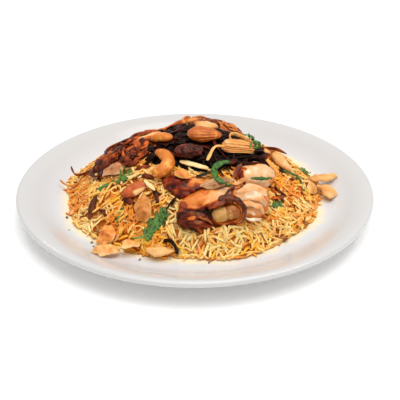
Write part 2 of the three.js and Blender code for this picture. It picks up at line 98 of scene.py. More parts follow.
# Rice heaped over the mound: against the thigh's front, and behind the blanched almond on the right. Each has
# the ends of its line, its half width and its height.
BANKS = [((9, -80), (34, -77), 5.5, 5.4), ((60, 12), (70, 14), 10.0, 4.0)]

# Long strands that lie on top of the heaps, each as its heap, width, shade and points.
LONG_STRANDS = [
    ("onions_back", 4.2, 0.3, [(54, 12, 46), (60, 12, 46.2), (66, 11, 45), (73, 10, 41.5)]),
    ("onions_red", 3.4, 0.95, [(-27, 27, 53), (-22, 30, 55), (-17, 33, 56.5), (-11, 35, 58.5), (-6, 37, 58.5)]),
    ("onions_red", 3.2, 0.8, [(-48, 14, 45), (-43, 17, 49), (-37, 18, 51), (-30, 18, 52)]),
    ("onions_back", 3.2, 0.9, [(-8, 22, 63.5), (-3, 25, 64.5), (3, 26, 65), (9, 25, 64)]),
    ("onions_back", 3.4, 0.75, [(28, 12, 56.5), (37, 10, 55.5), (46, 8, 52.5), (52, 8, 50)]),
    ("onions_back", 2.8, 0.6, [(20, 22, 57), (27, 20, 57), (34, 18, 55), (40, 19, 52)]),
    ("onions_dark", 3.0, 0.55, [(26, -22, 53), (34, -24, 51), (42, -22, 49.5), (50, -18, 47), (56, -15, 44)]),
    ("onions_dark", 3.0, 0.3, [(-20, -12, 55), (-14, -9, 57.5), (-8, -9, 58.5), (-2, -12, 58)]),
]

# Fried strands that lie loose on the rice, each as (width, shade, points of the plan).
LOOSE_STRANDS = [
    (3.6, 0.2, [(55, -31), (60, -31), (66, -31.5), (70, -31)]),
    (3.0, 0.15, [(64, -8), (68, -5), (72, -4.5)]),
    (5.0, 0.3, [(-54, -46), (-49, -48.5), (-44, -52)]),
    (4.2, 0.35, [(-43, -31), (-36, -32.5), (-30, -37)]),
    (3.6, 0.2, [(-31, -44), (-28, -50.5), (-26.7, -57.5)]),
    (3.4, 0.45, [(-27, -34), (-24, -38), (-22, -42)]),
    (3.6, 0.8, [(56, -42), (61, -39), (68, -33)]),
    (3.0, 0.3, [(-72, -44), (-68, -48), (-65, -52)]),
    (3.0, 0.75, [(79, -11), (82, -13), (85, -16)]),
    (3.6, 0.7, [(-74, -8), (-69, -13), (-63, -16.5)]),
    (2.8, 0.5, [(72, -12), (76, -7), (80, -2)]),
    (3.4, 0.6, [(-45, -22), (-39, -24), (-33, -24)]),
    (4.0, 0.4, [(-40, 50), (-34, 56), (-28, 60)]),
    (3.6, 0.7, [(52, 48), (58, 42), (62, 36)]),
    (3.4, 0.3, [(30, 70), (36, 66), (42, 64)]),
    (4.4, 0.7, [(57, -30), (60, -34), (62, -38)]),
    (3.6, 0.5, [(60, -28), (64, -33), (67, -39)]),
    (3.4, 0.05, [(-17, -60), (-14, -55), (-11, -51)]),
]

# Places on the mound as (x, y, yaw in degrees, lift).
THIGH_PLACE = (20, -60, 8, 0)
LEG_PLACE = (-2, -47, -6, 0)
BREAST_PLACE = (46, -25, 22, 0.5)

# Specks that lie on the plate's well, as (x, y, size).
PLATE_SPECKS = [
    (-97.9, -32.2, 2.1),
    (-94.0, -51.5, 1.9),
    (-75.0, -68.5, 2.2),
    (-73.3, -74.0, 1.7),
    (-38.7, -91.5, 1.8),
    (10.4, -95.5, 1.7),
]

# Brown lumps at the mound's edge, as (x, y, size).
BROWN_LUMPS = [(82.0, -43.5, 4.0), (65.5, -64.0, 4.4), (61.5, -66.5, 3.4), (76, -49, 2.6), (-84, -36, 2.4)]

# The solids that aren't toppings, and the toppings that grains of rice may be pressed into.
BARE = ("plate", "rice")
SOFT = ("chicken_thigh", "chicken_leg", "chicken_breast", "chicken_bone", *HEAPS)

SAME_POINT = 0.00001  # corners of a solid's faces that are nearer than this, in metres, are joined
PAIR_ANGLE = math.radians(40)  # up to this angle, two triangles of a solid are joined

# The seeds of the pieces' random numbers.
RICE_SEED = 8
RING_SEED = 5
SPRIG_SEED = 60
CRUMB_SEED = 77

# ------------------------ the settings


def rgb(red, green, blue):
    """The linear colour of a screen colour given from 0 to 255."""
    screen = (red / 255, green / 255, blue / 255)
    return tuple(c / 12.92 if c <= 0.04045 else ((c + 0.055) / 1.055) ** 2.4 for c in screen)


def colour(name, red, green, blue, description):
    default = rgb(red, green, blue)
    return bpy.props.FloatVectorProperty(
        name=name, description=description, subtype="COLOR", size=3, min=0, max=1, default=default
    )


def length(name, millimetres, description):
    return bpy.props.FloatProperty(
        name=name,
        description=description,
        default=millimetres * MM,
        min=0,
        subtype="DISTANCE",
        unit="LENGTH",
        precision=4,
    )


def count(name, number, description):
    return bpy.props.IntProperty(name=name, description=description, default=number, min=0)


class PlateSettings(bpy.types.PropertyGroup):
    sides: count("Sides", 224, "Straight sides of the plate's round outline")
    glaze: colour("Glaze", 205, 203, 201, "Colour of the glazed porcelain")
    # The well's lighter, cooler colour is painted light, standing for the brighter light on the flat well.
    well: colour("Well", 213, 214, 216, "Colour of the porcelain in the well, where the glaze is thicker")
    oil: colour("Oil", 255, 232, 166, "Colour of the oil that has run from the rice")


class RiceSettings(bpy.types.PropertyGroup):
    grains: count("Grains", 7000, "Grains of rice in the mound")
    grain_length: length("Grain length", 9.4, "Length of a cooked grain")
    grain_width: length("Grain width", 2.15, "Width of a cooked grain")
    pale: colour("Pale", 255, 215, 136, "Colour of the plain grains")
    gold: colour("Gold", 252, 190, 92, "Colour of the grains with some sauce")
    saffron: colour("Saffron", 250, 182, 52, "Colour of the grains with saffron")
    amber: colour("Amber", 234, 138, 42, "Colour of the grains soaked in sauce")
    # Painted shade: this dark colour goes on the deeper grains and on the body under them, for the shade
    # between grains.
    shade: colour("Depths", 150, 64, 12, "Colour deep between the grains")


class OnionSettings(bpy.types.PropertyGroup):
    strand_length: length("Strand length", 24, "Usual length of a fried strand")
    crumbs: count("Crumbs", 110, "Fried crumbs over the rice")
    dark: colour("Dark", 9, 4, 5, "Colour of the darkest fried onion")
    red: colour("Red brown", 112, 38, 12, "Colour of well fried onion")
    gold: colour("Gold", 240, 164, 80, "Colour of lightly fried onion")


class ChickenSettings(bpy.types.PropertyGroup):
    detail: length("Detail", 0.8, "Size of the mesh faces on the meat")
    burnt: colour("Browned", 40, 11, 8, "Colour of the darkest skin")
    red: colour("Red meat", 120, 28, 12, "Colour of the dark meat")
    skin: colour("Skin", 208, 104, 30, "Colour of the skin and its sauce")
    flesh: colour("Flesh", 232, 188, 142, "Colour of the cooked meat")
    bone: colour("Bone", 196, 146, 78, "Colour of the bone's end")


class NutSettings(bpy.types.PropertyGroup):
    cashew: colour("Cashew", 218, 125, 38, "Colour of the fried cashews")
    pale: colour("Blanched", 236, 176, 108, "Colour of the blanched almonds")
    brown: colour("Skin", 216, 112, 34, "Colour of the fried almonds")


class HerbSettings(bpy.types.PropertyGroup):
    thickness: length("Leaf thickness", 0.45, "Thickness of a leaf")
    leaf: colour("Leaf", 62, 114, 38, "Colour of the leaves")
    stalk: colour("Stalk", 150, 184, 92, "Colour of the stalks and pale edges")


class StageSettings(bpy.types.PropertyGroup):
    floor: colour("Floor", 250, 250, 250, "Colour of the floor")
    sky_strength: bpy.props.FloatProperty(
        name="Sky", description="Brightness of the even light", default=0.62, min=0
    )
    lamp_power: bpy.props.FloatProperty(
        name="Lamp", description="Power of the soft box overhead", default=11.5, min=0, unit="POWER"
    )


# ------------------------ shader maths


class Value:
    """A socket of a material, on which + - * and / add Math nodes."""

    def __init__(self, finish, socket):
        self.finish = finish
        self.socket = socket

    def maths(self, operation, first, second=0.0, clamp=False):
        return self.finish.node("Math", {"operation": operation, "use_clamp": clamp}, {0: first, 1: second})

    def __add__(self, other):
        return self.maths("ADD", self, other)

    def __radd__(self, other):
        return self.maths("ADD", other, self)

    def __sub__(self, other):
        return self.maths("SUBTRACT", self, other)

    def __rsub__(self, other):
        return self.maths("SUBTRACT", other, self)

    def __mul__(self, other):
        return self.maths("MULTIPLY", self, other)

    def __rmul__(self, other):
        return self.maths("MULTIPLY", other, self)

    def __truediv__(self, other):
        return self.maths("DIVIDE", self, other)

    def __rtruediv__(self, other):
        return self.maths("DIVIDE", other, self)

    def clamped(self):
        return self.maths("ADD", self, clamp=True)


class Finish:
    """A material with a Principled surface, built from nodes."""

    def __init__(self, name):
        self.material = bpy.data.materials.new(name)
        self.material.use_nodes = True
        self.tree = self.material.node_tree
        self.tree.nodes.clear()

    def node(self, kind, settings=None, values=None, output=0):
        """Adds a node: its type, its settings, and the values or links of its sockets."""
        made = self.tree.nodes.new("ShaderNode" + kind)
        for name, setting in (settings or {}).items():
            if name == "stops":
                self.set_stops(made.color_ramp, setting)
            else:
                setattr(made, name, setting)
        for name, value in (values or {}).items():
            if isinstance(value, Value):
                self.tree.links.new(value.socket, made.inputs[name])
            else:
                made.inputs[name].default_value = value
        return Value(self, made.outputs[output])

    @staticmethod
    def set_stops(ramp, stops):
        while len(ramp.elements) > 1:
            ramp.elements.remove(ramp.elements[-1])
        ramp.elements[0].position = stops[0][0]
        for position, _ in stops[1:]:
            ramp.elements.new(position)
        for element, (_, shade) in zip(ramp.elements, stops):
            element.color = (*shade, 1)

    def place(self):
        """Where a point is in the part's frame, in millimetres."""
        own = self.node("TexCoord", output="Object")
        return self.node("VectorMath", {"operation": "MULTIPLY"}, {0: own, 1: Vector((1, 1, 1)) / MM})

    def noise(self, size, detail=2.0, rough=0.5, warp=0.0):
        """Cloudy noise whose blotches are size millimetres."""
        values = {"Scale": 1 / size, "Detail": detail, "Roughness": rough, "Distortion": warp}
        return self.node("TexNoise", None, {"Vector": self.place(), **values})

    def cells(self, size):
        """Distance to the nearest of scattered points, size millimetres apart."""
        return self.node("TexVoronoi", None, {"Vector": self.place(), "Scale": 1 / size})

    def attribute(self, name):
        """A number that the mesh carries at each point."""
        return self.node("Attribute", {"attribute_name": name}, output="Fac")

    def ramp(self, value, *stops):
        """Colours along a value, each given as (value, colour)."""
        return self.node("ValToRGB", {"stops": stops}, {"Fac": value})

    def between(self, value, low, high):
        """0 below low, 1 above high, smooth between."""
        settings = {"interpolation_type": "SMOOTHSTEP"}
        return self.node("MapRange", settings, {"Value": value, "From Min": low, "From Max": high})

    def mix(self, factor, first, second):
        """A blend of two colours."""
        first, second = (c if isinstance(c, Value) else (*c, 1) for c in (first, second))
        return self.node("Mix", {"data_type": "RGBA"}, {0: factor, 6: first, 7: second}, output=2)

    def surface(
        self, base, roughness, height, depth=0.2, coat=0.0, shine=0.5, tint=(1, 1, 1), soft=None, glow=0
    ):
        """Ends the material. height times depth, in millimetres, is its bump. soft is how much light goes
        under the surface, how far in millimetres, and how much less of it is green and blue."""
        values = {
            "Base Color": base,
            "Roughness": roughness,
            "Specular IOR Level": shine,
            "Specular Tint": (*tint, 1),
            "Coat Weight": coat,
            "Coat Roughness": 0.12,
            "Emission Strength": glow,
            "Normal": self.node("Bump", None, {"Height": height, "Distance": depth * MM, "Strength": 1.0}),
        }
        if soft:
            weight, scale, green, blue = soft
            values["Subsurface Weight"] = weight
            values["Subsurface Scale"] = scale * MM
            values["Subsurface Radius"] = (1.0, green, blue)
        shader = self.node("BsdfPrincipled", {"subsurface_method": "RANDOM_WALK"}, values)
        ending = self.tree.nodes.new("ShaderNodeOutputMaterial")
        self.tree.links.new(shader.socket, ending.inputs["Surface"])
        return self.material


# ------------------------ the finishes

WARM = (1.0, 0.8, 0.55)  # tint of the gleam on oily food

# The oil on the plate: its middle in metres, how much narrower it is from front to back, and the radii in
# millimetres between which it fades out. Between the radii of the well's edge the glaze changes to the
# well's lighter, cooler colour: painted light on the flat well.
OIL_MIDDLE, OIL_SQUEEZE, OIL_EDGE = (-0.0004, 0.0044, 0), 1.04, (110, 122)
WELL_EDGE = (106, 126)


def dimmed(shade, *factors):
    """A colour made darker: by one factor, or by one for each of red, green and blue."""
    return tuple(c * k for c, k in zip(shade, factors * 3 if len(factors) == 1 else factors))


def porcelain(settings):
    """Glazed porcelain, with thin oil that has run from the foot of the rice."""
    finish = Finish("glazed_porcelain")
    place = finish.node("TexCoord", output="Object")
    around = finish.node("VectorMath", {"operation": "SUBTRACT"}, {0: place, 1: OIL_MIDDLE})
    flat = finish.node("VectorMath", {"operation": "MULTIPLY"}, {0: around, 1: (1, OIL_SQUEEZE, 0)})
    radius = finish.node("VectorMath", {"operation": "LENGTH"}, {0: flat}, output="Value") / MM
    run = finish.noise(11, detail=3) * 14 + finish.noise(30, detail=1) * 9
    oily = 1 - finish.between(radius + run, *OIL_EDGE)
    clouds = finish.noise(60, detail=2)
    # Inside the well's edge the glaze takes the well's lighter colour: painted light.
    base = finish.mix(finish.between(radius, *WELL_EDGE), settings.well, settings.glaze)
    base = finish.mix(clouds * 0.3, base, dimmed(settings.glaze, 0.96))
    base = finish.mix(oily * 0.75, base, settings.oil)
    rough = 0.19 + 0.05 * finish.noise(25, detail=2)
    return finish.surface(base, rough, finish.noise(34, detail=1), depth=0.12, coat=0.16)


def rice_finish(name, base, deep, stain):
    """Cooked rice: each grain has its own shade. Painted light makes the grains paler on top of the heap, and
    painted shade makes them darker and redder below.
    """
    finish = Finish(name)
    shade = finish.attribute("shade")
    depth = finish.attribute("depth")
    clouds = finish.noise(14, detail=3)
    fine = finish.noise(1.5, detail=2)
    # The deeper a grain lies, the more of the stain colour it takes: painted shade, added to the sauce's
    # blotches.
    soaked = (finish.between(clouds, 0.48, 0.7) * 0.35 + depth * 0.5 + (shade - 0.5) * 0.4).clamped()
    tone = finish.mix(soaked, base, stain)
    # Painted shade: the deepest grains are darkened towards the depths colour.
    tone = finish.mix(finish.between(depth, 0.5, 1.0) * 0.5, tone, deep)
    tone = finish.mix(finish.between(fine, 0.35, 0.8) * 0.2, tone, dimmed(base, 0.84, 0.7, 0.5))
    # The palest grains are made paler still, on top of the heap only: painted light on the top grains.
    pale = finish.between(1 - shade, 0.7, 1.0) * (1 - depth) * 0.45
    tone = finish.mix(pale, tone, rgb(255, 232, 172))
    soft = (0.35, 2.0, 0.55, 0.15)
    return finish.surface(tone, 0.34 + 0.2 * fine, fine, depth=0.1, shine=0.32, tint=WARM, soft=soft)


# The body under the grains is coloured between amber and the depths colour: painted shade seen through the
# gaps.
def rice_core_finish(settings):
    finish = Finish("rice_depths")
    clouds = finish.noise(9, detail=3)
    tone = finish.mix(clouds, settings.shade, settings.amber)
    return finish.surface(tone, 0.55 + 0.2 * clouds, finish.cells(2.4), depth=0.8, shine=0.2, tint=WARM)


def onion_finish(name, low, middle, high, gloss=0.3, shine=0.22):
    """Fried onion: dark at the edges and tips, with lighter, clearer runs along the strands."""
    finish = Finish(name)
    shade = finish.attribute("shade")
    clouds = finish.noise(5, detail=3)
    fine = finish.noise(1.3, detail=2, warp=0.4)
    tone_at = (shade * 0.85 + clouds * 0.5 - 0.2).clamped()
    tone = finish.ramp(tone_at, (0.05, low), (0.5, middle), (0.92, high))
    tone = finish.mix(finish.between(fine, 0.45, 0.8) * 0.35, tone, dimmed(low, 0.6))
    rough = gloss + 0.25 * fine
    return finish.surface(tone, rough, fine, depth=0.3, shine=shine, tint=WARM, soft=(0.06, 1, 0.4, 0.2))


def meat_finish(settings):
    """Cooked chicken. The mesh carries its tone, from browned skin through red meat and skin to flesh, with
    the painted light and shade that the shapes and patches put into it.
    """
    finish = Finish("chicken_meat_and_skin")
    clouds = finish.noise(5, detail=4, rough=0.6)
    fine = finish.noise(1.0, detail=3)
    tone_at = (finish.attribute("tone") + (clouds - 0.5) * 0.26 + (fine - 0.5) * 0.14).clamped()
    peach = rgb(232, 148, 74)
    cream = rgb(250, 228, 200)
    stops = (0.02, settings.burnt), (0.24, settings.red), (0.48, settings.skin), (0.66, peach)
    tone = finish.ramp(tone_at, *stops, (0.84, settings.flesh), (1.0, cream))
    # olive: blotches over the thigh's flesh and its flaps, the lower side of the skin ring, and painted shade
    # towards the breast's underside.
    olive = finish.attribute("olive")
    tone = finish.mix(olive * 0.75, tone, rgb(134, 92, 40))
    rough = 0.2 + 0.26 * fine
    height = fine * 0.6 + finish.noise(0.7, detail=2) * 0.4
    soft = (0.18, 2, 0.4, 0.2)
    return finish.surface(tone, rough, height, depth=0.22, coat=0.08, shine=0.24, tint=WARM, soft=soft)


def bone_finish(settings):
    finish = Finish("bone_and_cartilage")
    clouds = finish.noise(5, detail=4)
    fine = finish.noise(0.9, detail=2)
    brown = finish.attribute("tone")
    tone = finish.mix(finish.between(clouds + brown * 0.5, 0.5, 0.85), settings.bone, rgb(156, 84, 34))
    tone = finish.mix(finish.between(fine, 0.55, 0.8) * 0.4, tone, rgb(236, 206, 140))
    height = clouds * 0.6 + fine * 0.4
    return finish.surface(tone, 0.3 + 0.25 * fine, height, depth=0.4, coat=0.1, shine=0.4, tint=WARM)


def nut_finish(name, base, edge, streaks=0.0, gloss=0.3, pale=None, cut=None):
    """A fried nut: browner at its ends and in blotches, with streaks along it."""
    finish = Finish(name)
    clouds = finish.noise(4.5, detail=3)
    fine = finish.noise(0.8, detail=2)
    ends = finish.between(finish.attribute("ends"), 0.45, 1.05)
    lines = finish.attribute("streak")
    toasted = (ends * 0.55 + finish.between(clouds, 0.45, 0.8) * 0.5).clamped()
    tone = finish.mix(toasted, base, edge)
    if pale:
        tone = finish.mix(finish.between(clouds, 0.28, 0.45), pale, tone)
    tone = finish.mix(lines * streaks, tone, dimmed(edge, 0.55))
    if cut:
        tone = finish.mix(finish.attribute("cut"), tone, cut)
    height = fine * 0.5 + lines * 0.5
    soft = (0.15, 1.5, 0.5, 0.2)
    return finish.surface(tone, gloss + 0.22 * fine, height, coat=0.15, shine=0.4, tint=WARM, soft=soft)


def petal_finish(name, base, deep, pale, lined=0.0):
    """A soft layer of onion or a flake of meat: pale and clear at its edges, with sauce in its folds."""
    finish = Finish(name)
    clouds = finish.noise(6, detail=4)
    fine = finish.noise(1.2, detail=2)
    edge = finish.between(finish.attribute("ends"), 0.6, 1.1)
    tone = finish.mix(finish.between(clouds, 0.42, 0.68), base, deep)
    tone = finish.mix((edge * 0.6 + finish.between(fine, 0.6, 0.85) * 0.4).clamped(), tone, pale)
    tone = finish.mix(finish.attribute("streak") * lined, tone, dimmed(deep, 0.6))
    height = clouds * 0.6 + fine * 0.4
    soft = (0.35, 2.4, 0.6, 0.3)
    return finish.surface(tone, 0.26 + 0.25 * fine, height, depth=0.4, coat=0.25, tint=WARM, soft=soft)


def leaf_finish(settings):
    finish = Finish("coriander_leaf")
    clouds = finish.noise(3.2, detail=3)
    fine = finish.noise(0.9, detail=2)
    vein = finish.attribute("vein")
    tone = finish.mix(finish.between(clouds, 0.4, 0.62), settings.leaf, rgb(20, 50, 20))
    tone = finish.mix((vein * 0.7).clamped(), tone, settings.stalk)
    height = fine * 0.5 + vein * 0.5
    return finish.surface(tone, 0.4 + 0.2 * fine, height, depth=0.25, shine=0.3, soft=(0.1, 0.8, 1, 0.3))


def crumb_finish(name, dark, light):
    finish = Finish(name)
    clouds = finish.noise(1.4, detail=3)
    tone = finish.mix(finish.between(clouds, 0.35, 0.7), dark, light)
    return finish.surface(tone, 0.4 + 0.3 * clouds, clouds, depth=0.4, shine=0.35, tint=WARM)


# ------------------------ mesh helpers


def mesh_of(name, points, quads, triangles, attributes=None):
    """A smooth mesh from arrays in millimetres, with numbers at its points."""
    mesh = bpy.data.meshes.new(name)
    mesh.vertices.add(len(points))
    mesh.vertices.foreach_set("co", (points * MM).astype(np.float32).ravel())
    corners = np.concatenate([np.ravel(quads), np.ravel(triangles)]).astype(np.int32)
    starts = np.concatenate([np.arange(len(quads)) * 4, len(quads) * 4 + np.arange(len(triangles)) * 3])
    mesh.loops.add(len(corners))
    mesh.loops.foreach_set("vertex_index", corners)
    mesh.polygons.add(len(starts))
    mesh.polygons.foreach_set("loop_start", starts.astype(np.int32))
    mesh.update(calc_edges=True)
    mesh.validate()
    set_attributes(mesh, attributes or {})
    mesh.shade_smooth()
    return mesh


def set_attributes(mesh, attributes):
    for name, values in attributes.items():
        layer = mesh.attributes.get(name) or mesh.attributes.new(name, "FLOAT", "POINT")
        layer.data.foreach_set("value", np.asarray(values, np.float32).ravel())


def add_piece(name, mesh, material, slot, *replaced):
    """Puts a mesh in the scene as a piece that rides with the dish and stands for the named solids."""
    piece = bpy.data.objects.new(name, mesh)
    bpy.context.scene.collection.objects.link(piece)
    mesh.materials.clear()
    mesh.materials.append(material)
    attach(piece, "root")
    if replaced:
        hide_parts(*replaced)


def vectors_of(items, field):
    """The vectors that the items of a mesh hold, as rows of an array."""
    flat = np.empty(len(items) * 3, np.float32)
    items.foreach_get(field, flat)
    return flat.reshape(-1, 3).astype(float)


def points_of(mesh):
    return vectors_of(mesh.vertices, "co") / MM


def set_points(mesh, points):
    mesh.vertices.foreach_set("co", (points * MM).astype(np.float32).ravel())
    mesh.update()


def push_out(mesh, lift):
    """Moves each point of a mesh along its normal, by its own number of millimetres."""
    set_points(mesh, points_of(mesh) + vectors_of(mesh.vertex_normals, "vector") * lift[:, None])


def shaped(mesh, *modifiers):
    """A new mesh with the given modifiers applied, each as (type, settings)."""
    holder = bpy.data.objects.new("holder", mesh)
    bpy.context.scene.collection.objects.link(holder)
    for kind, settings in modifiers:
        modifier = holder.modifiers.new(kind.lower(), kind)
        for name, value in settings.items():
            setattr(modifier, name, value)
    bpy.context.view_layer.update()
    made = bpy.data.meshes.new_from_object(holder.evaluated_get(bpy.context.evaluated_depsgraph_get()))
    bpy.data.objects.remove(holder)
    made.shade_smooth()
    return made


def subdivided(mesh, levels=1):
    return shaped(mesh, ("SUBSURF", {"levels": levels, "render_levels": levels}))


def joined_solid(node, pairs=False):
    """A solid's mesh with the corners of its faces joined and, if asked, its pairs of triangles too."""
    work = bmesh.new()
    work.from_mesh(NODES[node].data)
    bmesh.ops.remove_doubles(work, verts=work.verts, dist=SAME_POINT)
    if pairs:
        angles = {"angle_face_threshold": PAIR_ANGLE, "angle_shape_threshold": PAIR_ANGLE}
        bmesh.ops.join_triangles(work, faces=work.faces, **angles)
    mesh = bpy.data.meshes.new(node)
    work.to_mesh(mesh)
    work.free()
    if "sharp_edge" in mesh.attributes:
        mesh.attributes.remove(mesh.attributes["sharp_edge"])
    return mesh


def rounded_solid(node):
    """A solid's mesh with its corners rounded."""
    return subdivided(joined_solid(node, pairs=True), 3)


def cloud(points, size, seed=0.0):
    """Smooth noise from -1 to 1 at each point, with blotches of the given size in millimetres."""
    shift = Vector((seed * 17.3, seed * 5.1, seed * 9.7))
    return np.array([noise.noise(Vector(p) / size + shift) for p in points])


def folds(points, size, seed):
    """Sharp-topped folds from 0 to 1."""
    return 1 - np.abs(cloud(points, size, seed)) * 2


def blob(points, x, y, wide, deep):
    """A soft round patch of height 1 about a place of the plan."""
    return np.exp(-(((points[:, 0] - x) / wide) ** 2 + ((points[:, 1] - y) / deep) ** 2))


def tree_of(meshes):
    """A search tree over meshes, in millimetres."""
    points, faces = [], []
    for mesh in meshes:
        start = len(points)
        points += [v.co / MM for v in mesh.vertices]
        faces += [[start + i for i in p.vertices] for p in mesh.polygons]
    return BVHTree.FromPolygons(points, faces)


def solids_tree(names):
    return tree_of([NODES[name].data for name in names])


def depth_in(tree, point, reach=6.0):
    """How deep a point lies inside the solids of a tree, negative outside, or -reach where they are far."""
    place, normal, _, distance = tree.find_nearest(Vector(point), reach)
    if place is None:
        return -reach
    return distance if (Vector(point) - place).dot(normal) < 0 else -distance


def unit(vectors):
    return vectors / np.maximum(np.linalg.norm(vectors, axis=-1, keepdims=True), 1e-9)


def turned(x, y, angle):
    """Points of a plan turned about its middle."""
    return x * np.cos(angle) - y * np.sin(angle), x * np.sin(angle) + y * np.cos(angle)


def smooth_line(points, steps, passes=3):
    """Points evenly along a rounded line through the given ones."""
    points = np.array(points, float)
    at, here = np.linspace(0, 1, steps), np.linspace(0, 1, len(points))
    line = np.stack([np.interp(at, here, axis) for axis in points.T], -1)
    for _ in range(passes):
        line[1:-1] = (line[:-2] + 2 * line[1:-1] + line[2:]) / 4
    return line


def capped_tube(rings, sides):
    """The quads and end triangles of a tube. Its points are one end, its rings in turn and the other end."""
    ring, here = np.meshgrid(np.arange(rings - 1), np.arange(sides), indexing="ij")
    beside = (here + 1) % sides
    low, high = 1 + ring * sides, 1 + (ring + 1) * sides
    quads = np.stack([low + here, high + here, high + beside, low + beside], -1).reshape(-1, 4)
    here = np.arange(sides)
    beside = (here + 1) % sides
    outer = 1 + (rings - 1) * sides
    first = np.stack([np.zeros(sides, int), 1 + here, 1 + beside], -1)
    last = np.stack([np.full(sides, outer + sides), outer + beside, outer + here], -1)
    return quads, np.concatenate([first, last])


def swept(paths, half_widths, half_thicks, ups, sides):
    """Tubes along many paths at once, pointed at both ends. paths and ups are (items, steps, 3), the half
    sizes (items, steps). Returns points, quads and triangles, and each point's item and share of the way."""
    items, steps = paths.shape[:2]
    along = unit(np.gradient(paths, axis=1))
    side = unit(np.cross(along, ups))
    up = np.cross(side, along)
    angles = TAU * np.arange(sides)[:, None] / sides
    rings = paths[:, 1:-1, None] + np.cos(angles) * side[:, 1:-1, None] * half_widths[:, 1:-1, None, None]
    rings = rings + np.sin(angles) * up[:, 1:-1, None] * half_thicks[:, 1:-1, None, None]
    points = np.concatenate([paths[:, :1], rings.reshape(items, -1, 3), paths[:, -1:]], axis=1)
    each = points.shape[1]
    starts = (np.arange(items) * each)[:, None, None]
    quads, triangles = capped_tube(steps - 2, sides)
    share = np.concatenate([[0], np.repeat(np.linspace(0, 1, steps)[1:-1], sides), [1]])
    item = np.repeat(np.arange(items), each)
    faces = (quads + starts).reshape(-1, 4), (triangles + starts).reshape(-1, 3)
    return points.reshape(-1, 3), *faces, item, np.tile(share, items)


def round_body(outline, top, bottom, rings, spokes):
    """A closed body over a round outline. outline gives the plan from a share of the way out and an angle,
    top and bottom give heights from the plan."""

    def layer(share, height, angles=TAU * np.arange(spokes) / spokes):
        x, y = outline(share, angles)
        return np.column_stack([x, y, height(x, y)])

    shares = np.linspace(0, 1, rings + 1)[1:]
    layers = [layer(s, top) for s in shares] + [layer(s, bottom) for s in shares[::-1]]
    middle = np.zeros(1)
    points = np.concatenate([layer(0, top, middle), *layers, layer(0, bottom, middle)])
    return points, *capped_tube(2 * rings, spokes)


# ------------------------ the mound and its heaps


def hump(angle, width):
    wrapped = np.arctan2(np.sin(angle), np.cos(angle))
    return np.exp(-((wrapped / width) ** 2))


def base_radius(angle):
    wave = 0.018 * np.sin(5 * angle + 1) + 0.012 * np.sin(9 * angle)
    left = 0.04 * hump(angle - math.pi, 0.6)
    back = 0.07 * hump(angle - math.pi / 4, 0.45) + 0.04 * hump(angle - math.pi / 2, 0.6)
    return MOUND_RADIUS * (1 + wave + left - back)


def mound_point(share, angle):
    """A point of the plan at a share of the way out to the mound's foot."""
    radius = share * base_radius(angle)
    return MOUND_X + radius * np.cos(angle), MOUND_Y + radius * np.sin(angle)


def mound_height(x, y):
    dx, dy = x - MOUND_X, y - MOUND_Y
    share = np.hypot(dx, dy) / base_radius(np.arctan2(dy, dx))
    return FLOOR_Z + MOUND_HEIGHT * np.maximum(0, 1 - share**MOUND_POWER)


def banked(x, y):
    """Height that the rice is heaped over the mound."""
    height = 0
    for (x0, y0), (x1, y1), wide, high in BANKS:
        across, up = x1 - x0, y1 - y0
        share = np.clip(((x - x0) * across + (y - y0) * up) / (across**2 + up**2), 0, 1)
        out = np.hypot(x - x0 - share * across, y - y0 - share * up)
        height = height + high * np.exp(-((out / wide) ** 2))
    return height


def mound_normal(x, y):
    step = 2.0
    slope_x = (mound_height(x + step, y) - mound_height(x - step, y)) / (2 * step)
    slope_y = (mound_height(x, y + step) - mound_height(x, y - step)) / (2 * step)
    return unit(np.stack([-slope_x, -slope_y, np.ones_like(slope_x)], -1))


def place_on_mound(x, y, yaw, lift):
    """The frame of a piece on the mound: Z stands off the surface, X points to the yaw angle."""
    normal = Vector(mound_normal(np.float64(x), np.float64(y)))
    along = Vector((math.cos(math.radians(yaw)), math.sin(math.radians(yaw)), 0))
    along = (along - normal * along.dot(normal)).normalized()
    place = Matrix((along, normal.cross(along), normal)).transposed().to_4x4()
    place.translation = Vector((x, y, float(mound_height(x, y)))) + normal * lift
    return place


def own_points(points, place):
    """Points of the dish in a piece's own frame."""
    return (points - np.array(place.translation)) @ np.array(place.to_3x3())


def on_surface(tree, x, y, z, place, above=25, sink=3):
    """A point of a piece's own frame moved onto its surface, up by no more than above or down by sink."""
    normal = place.to_3x3() @ Vector((0, 0, 1))
    fall = tree.ray_cast(place @ Vector((x, y, z + above)), -normal, above + sink)[3]
    return place @ Vector((x, y, z + above - (above + sink if fall is None else fall)))


def heap_edge(heap, angle):
    """How far a heap's uneven outline lies out, as a share of its ellipse."""
    return 1 + 0.08 * np.sin(3 * angle + heap["length"]) + 0.05 * np.sin(7 * angle)


def heap_share(heap, x, y):
    """How far out in a heap a point lies: 1 on its outline."""
    u, v = turned(x - heap["x"], y - heap["y"], -math.radians(heap["yaw"]))
    u, v = u / (heap["length"] / 2), v / (heap["width"] / 2)
    return np.hypot(u, v) / heap_edge(heap, np.arctan2(v, u))


def heap_point(heap, share, angle):
    edge = share * heap_edge(heap, angle)
    u, v = edge * heap["length"] * np.cos(angle) / 2, edge * heap["width"] * np.sin(angle) / 2
    u, v = turned(u, v, math.radians(heap["yaw"]))
    return heap["x"] + u, heap["y"] + v


def heap_height(heap, x, y):
    """Height of a heap's bare top, or of the rice beside it."""
    inside = np.sqrt(np.maximum(0, 1 - heap_share(heap, x, y) ** 2))
    return mound_height(x, y) + CLEAR + 0.8 * (inside > 0) + heap["rise"] * inside


def pile_height(x, y):
    """Height of the tops of the heaps, or of the rice beside them."""
    return np.max([heap_height(heap, x, y) for heap in HEAPS.values()], axis=0)


# ------------------------ the plate


